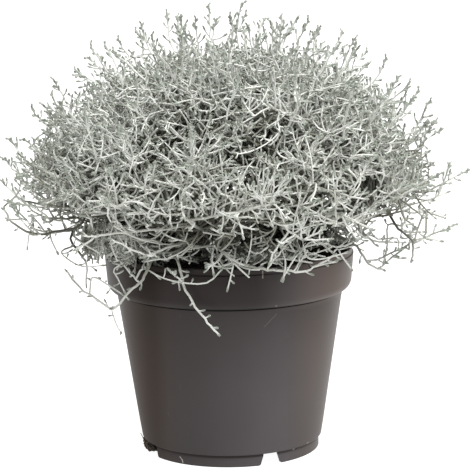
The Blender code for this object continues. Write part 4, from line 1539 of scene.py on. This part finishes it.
soil = {
    "top": 0.1270, "dish": 0.0020, "rings": 26, "steps": 120, "rough": 0.0022, "lumps": 90.0, "edge": 0.006,
    "fractal": (0.6, 2.0, 5), "level": 0.0005, "kneeGap": 0.001, "rimGap": 0.0008, "waist": 0.06,
    "innerRing": 0.03, "sharpAngle": 60,
    "crumbs": 420, "seed": 3, "leastCrumb": 0.0006, "crumbSpread": 0.0022, "crumbPower": 2.5,
    "crumbShape": (0.7, 1.15), "reach": 0.074, "sunk": 0.0004,
}
peat = {
    "lumps": (220.0, 4.0, 0.65), "fibres": (900.0, 3.0, 0.6),
    "tones": [(0.30, (0.008, 0.006, 0.004)), (0.55, (0.020, 0.014, 0.009)), (0.78, (0.050, 0.034, 0.020))],
    "fibreSpan": (0.60, 0.75, 0.0, 0.5), "fibreTone": (0.10, 0.07, 0.04), "fibreBump": 0.5,
    "bump": (0.7, 0.0012),
}


def peatPaint():
    paint = Paint("peat", roughness=0.95)
    spot = paint.place()
    lumps = paint.speckle(spot, *peat["lumps"])
    fibre = paint.speckle(spot, *peat["fibres"])
    tone = paint.ramp(lumps, peat["tones"])
    paint.set("Base Color", paint.mix(paint.span(fibre, *peat["fibreSpan"]), tone, tint(*peat["fibreTone"])))
    paint.set("Normal", paint.bump(lumps + fibre * peat["fibreBump"], *peat["bump"]))
    return paint.material


# A clump of peat with roots has worked out of a drain hole and through the notch at the left
clump = {
    "seed": 8, "crumbs": 190, "azimuths": (-93, -61), "radii": (0.0578, 0.0608), "heights": (0.0016, 0.0078),
    "sizes": (0.0006, 0.0014), "inside": 26, "insideRadii": (0.052, 0.057), "insideSizes": (0.0020, 0.0032),
    "ground": 0.0004, "archHeight": 0.0044, "archFrom": -74, "archWidth": 13, "rootRadii": (0.00042, 0.00022),
    "rootPieces": 4, "rootFibres": (1200.0, 3.0), "rootBump": (0.3, 0.0002),
    "rootTones": ((0.020, 0.012, 0.006), (0.26, 0.18, 0.10)),
}
drainRoots = (
    ((-80, 0.0600, 0.0030), (-84, 0.0612, 0.0052), (-87, 0.0622, 0.0070), (-88, 0.0634, 0.0092)),
    ((-70, 0.0598, 0.0078), (-74, 0.0613, 0.0060), (-71, 0.0614, 0.0040), (-73, 0.0610, 0.0026)),
    ((-78, 0.0602, 0.0080), (-79, 0.0614, 0.0058), (-82, 0.0612, 0.0036), (-79, 0.0606, 0.0022)),
    ((-66, 0.0590, 0.0072), (-69, 0.0608, 0.0052), (-67, 0.0606, 0.0034)),
)


def rootPaint():
    paint = Paint("root", roughness=0.8)
    fibre = paint.speckle(paint.place(), *clump["rootFibres"])
    dark, pale = clump["rootTones"]
    paint.set("Base Color", paint.mix(fibre, tint(*dark), tint(*pale)))
    paint.set("Normal", paint.bump(fibre, *clump["rootBump"]))
    return paint.material


def addCrumb(rng, shape, place, size):
    # A small rough ball.
    made = bmesh.ops.create_icosphere(shape, subdivisions=1, radius=size)
    for vert in made["verts"]:
        vert.co *= rng.uniform(*soil["crumbShape"])
        vert.co += place


def makeDrainClump(material):
    rng = random.Random(clump["seed"])
    crumbs = bmesh.new()
    for index in range(clump["crumbs"] + clump["inside"]):
        within = index >= clump["crumbs"]
        azimuth = rng.uniform(*clump["azimuths"])
        height = rng.uniform(*clump["heights"])
        radius = rng.uniform(*clump["insideRadii" if within else "radii"])
        size = rng.uniform(*clump["insideSizes" if within else "sizes"])
        # The clump's lower edge rises towards the middle of the notch.
        lowest = clump["archHeight"] * (azimuth - clump["archFrom"]) / clump["archWidth"]
        if height - size >= clump["ground"] and height >= lowest:
            addCrumb(rng, crumbs, fromFront(math.radians(azimuth), radius, height), size)
    finishPiece("drainPeat", meshFrom(crumbs, "drainPeat", smooth=False), (), material)
    strands = []
    for route in drainRoots:
        line = [fromFront(math.radians(azimuth), radius, height) for azimuth, radius, height in route]
        addStrand(strands, smoothLine(line, clump["rootPieces"]), clump["rootRadii"], (0.0, 0.0))
    mesh = strandMesh("drainRoots", strands, 1)
    mesh.shade_smooth()
    finishPiece("drainRoots", mesh, (), rootPaint())


def makeSoil(material):
    bottom = pot["footHeight"] + pot["floor"] + bush["fitGap"]
    knee = pot["height"] - pot["bandHeight"] - soil["kneeGap"]
    rim = pot["bodyTop"] + soil["rimGap"]
    inner = pot["wall"] + bush["fitGap"]
    points = [(rim * index / soil["rings"], soil["top"] - soil["dish"] * (index / soil["rings"]) ** 2)
              for index in range(soil["rings"] + 1)]
    points += [(bodyRadius(level) - inner, level) for level in (knee, soil["waist"], bottom)]
    points += [(soil["innerRing"], bottom), (0.0, bottom)]
    shape = spinProfile(points, soil["steps"])
    for vert in shape.verts:
        fromAxis = math.hypot(vert.co.x, vert.co.y)
        if vert.co.z > soil["top"] - soil["dish"] - soil["level"]:
            lump = noise.fractal(vert.co * soil["lumps"], *soil["fractal"])
            vert.co.z += soil["rough"] * lump * min(1.0, (rim - fromAxis) / soil["edge"])
    finishPiece("peatBed", meshFrom(shape, "peatBed", angle=soil["sharpAngle"]), ["soil"], material)


def makeCrumbs(material):
    rng = random.Random(soil["seed"])
    crumbs = bmesh.new()
    for _ in range(soil["crumbs"]):
        size = soil["leastCrumb"] + soil["crumbSpread"] * rng.random() ** soil["crumbPower"]
        azimuth = rng.uniform(0, math.tau)
        place = fromFront(azimuth, soil["reach"] * math.sqrt(rng.random()), soil["top"] - soil["sunk"])
        addCrumb(rng, crumbs, place, size)
    finishPiece("peatCrumbs", meshFrom(crumbs, "peatCrumbs", smooth=False), (), material)


peatMaterial = peatPaint()
makeSoil(peatMaterial)
makeCrumbs(peatMaterial)
makeDrainClump(peatMaterial)
print("soil made")
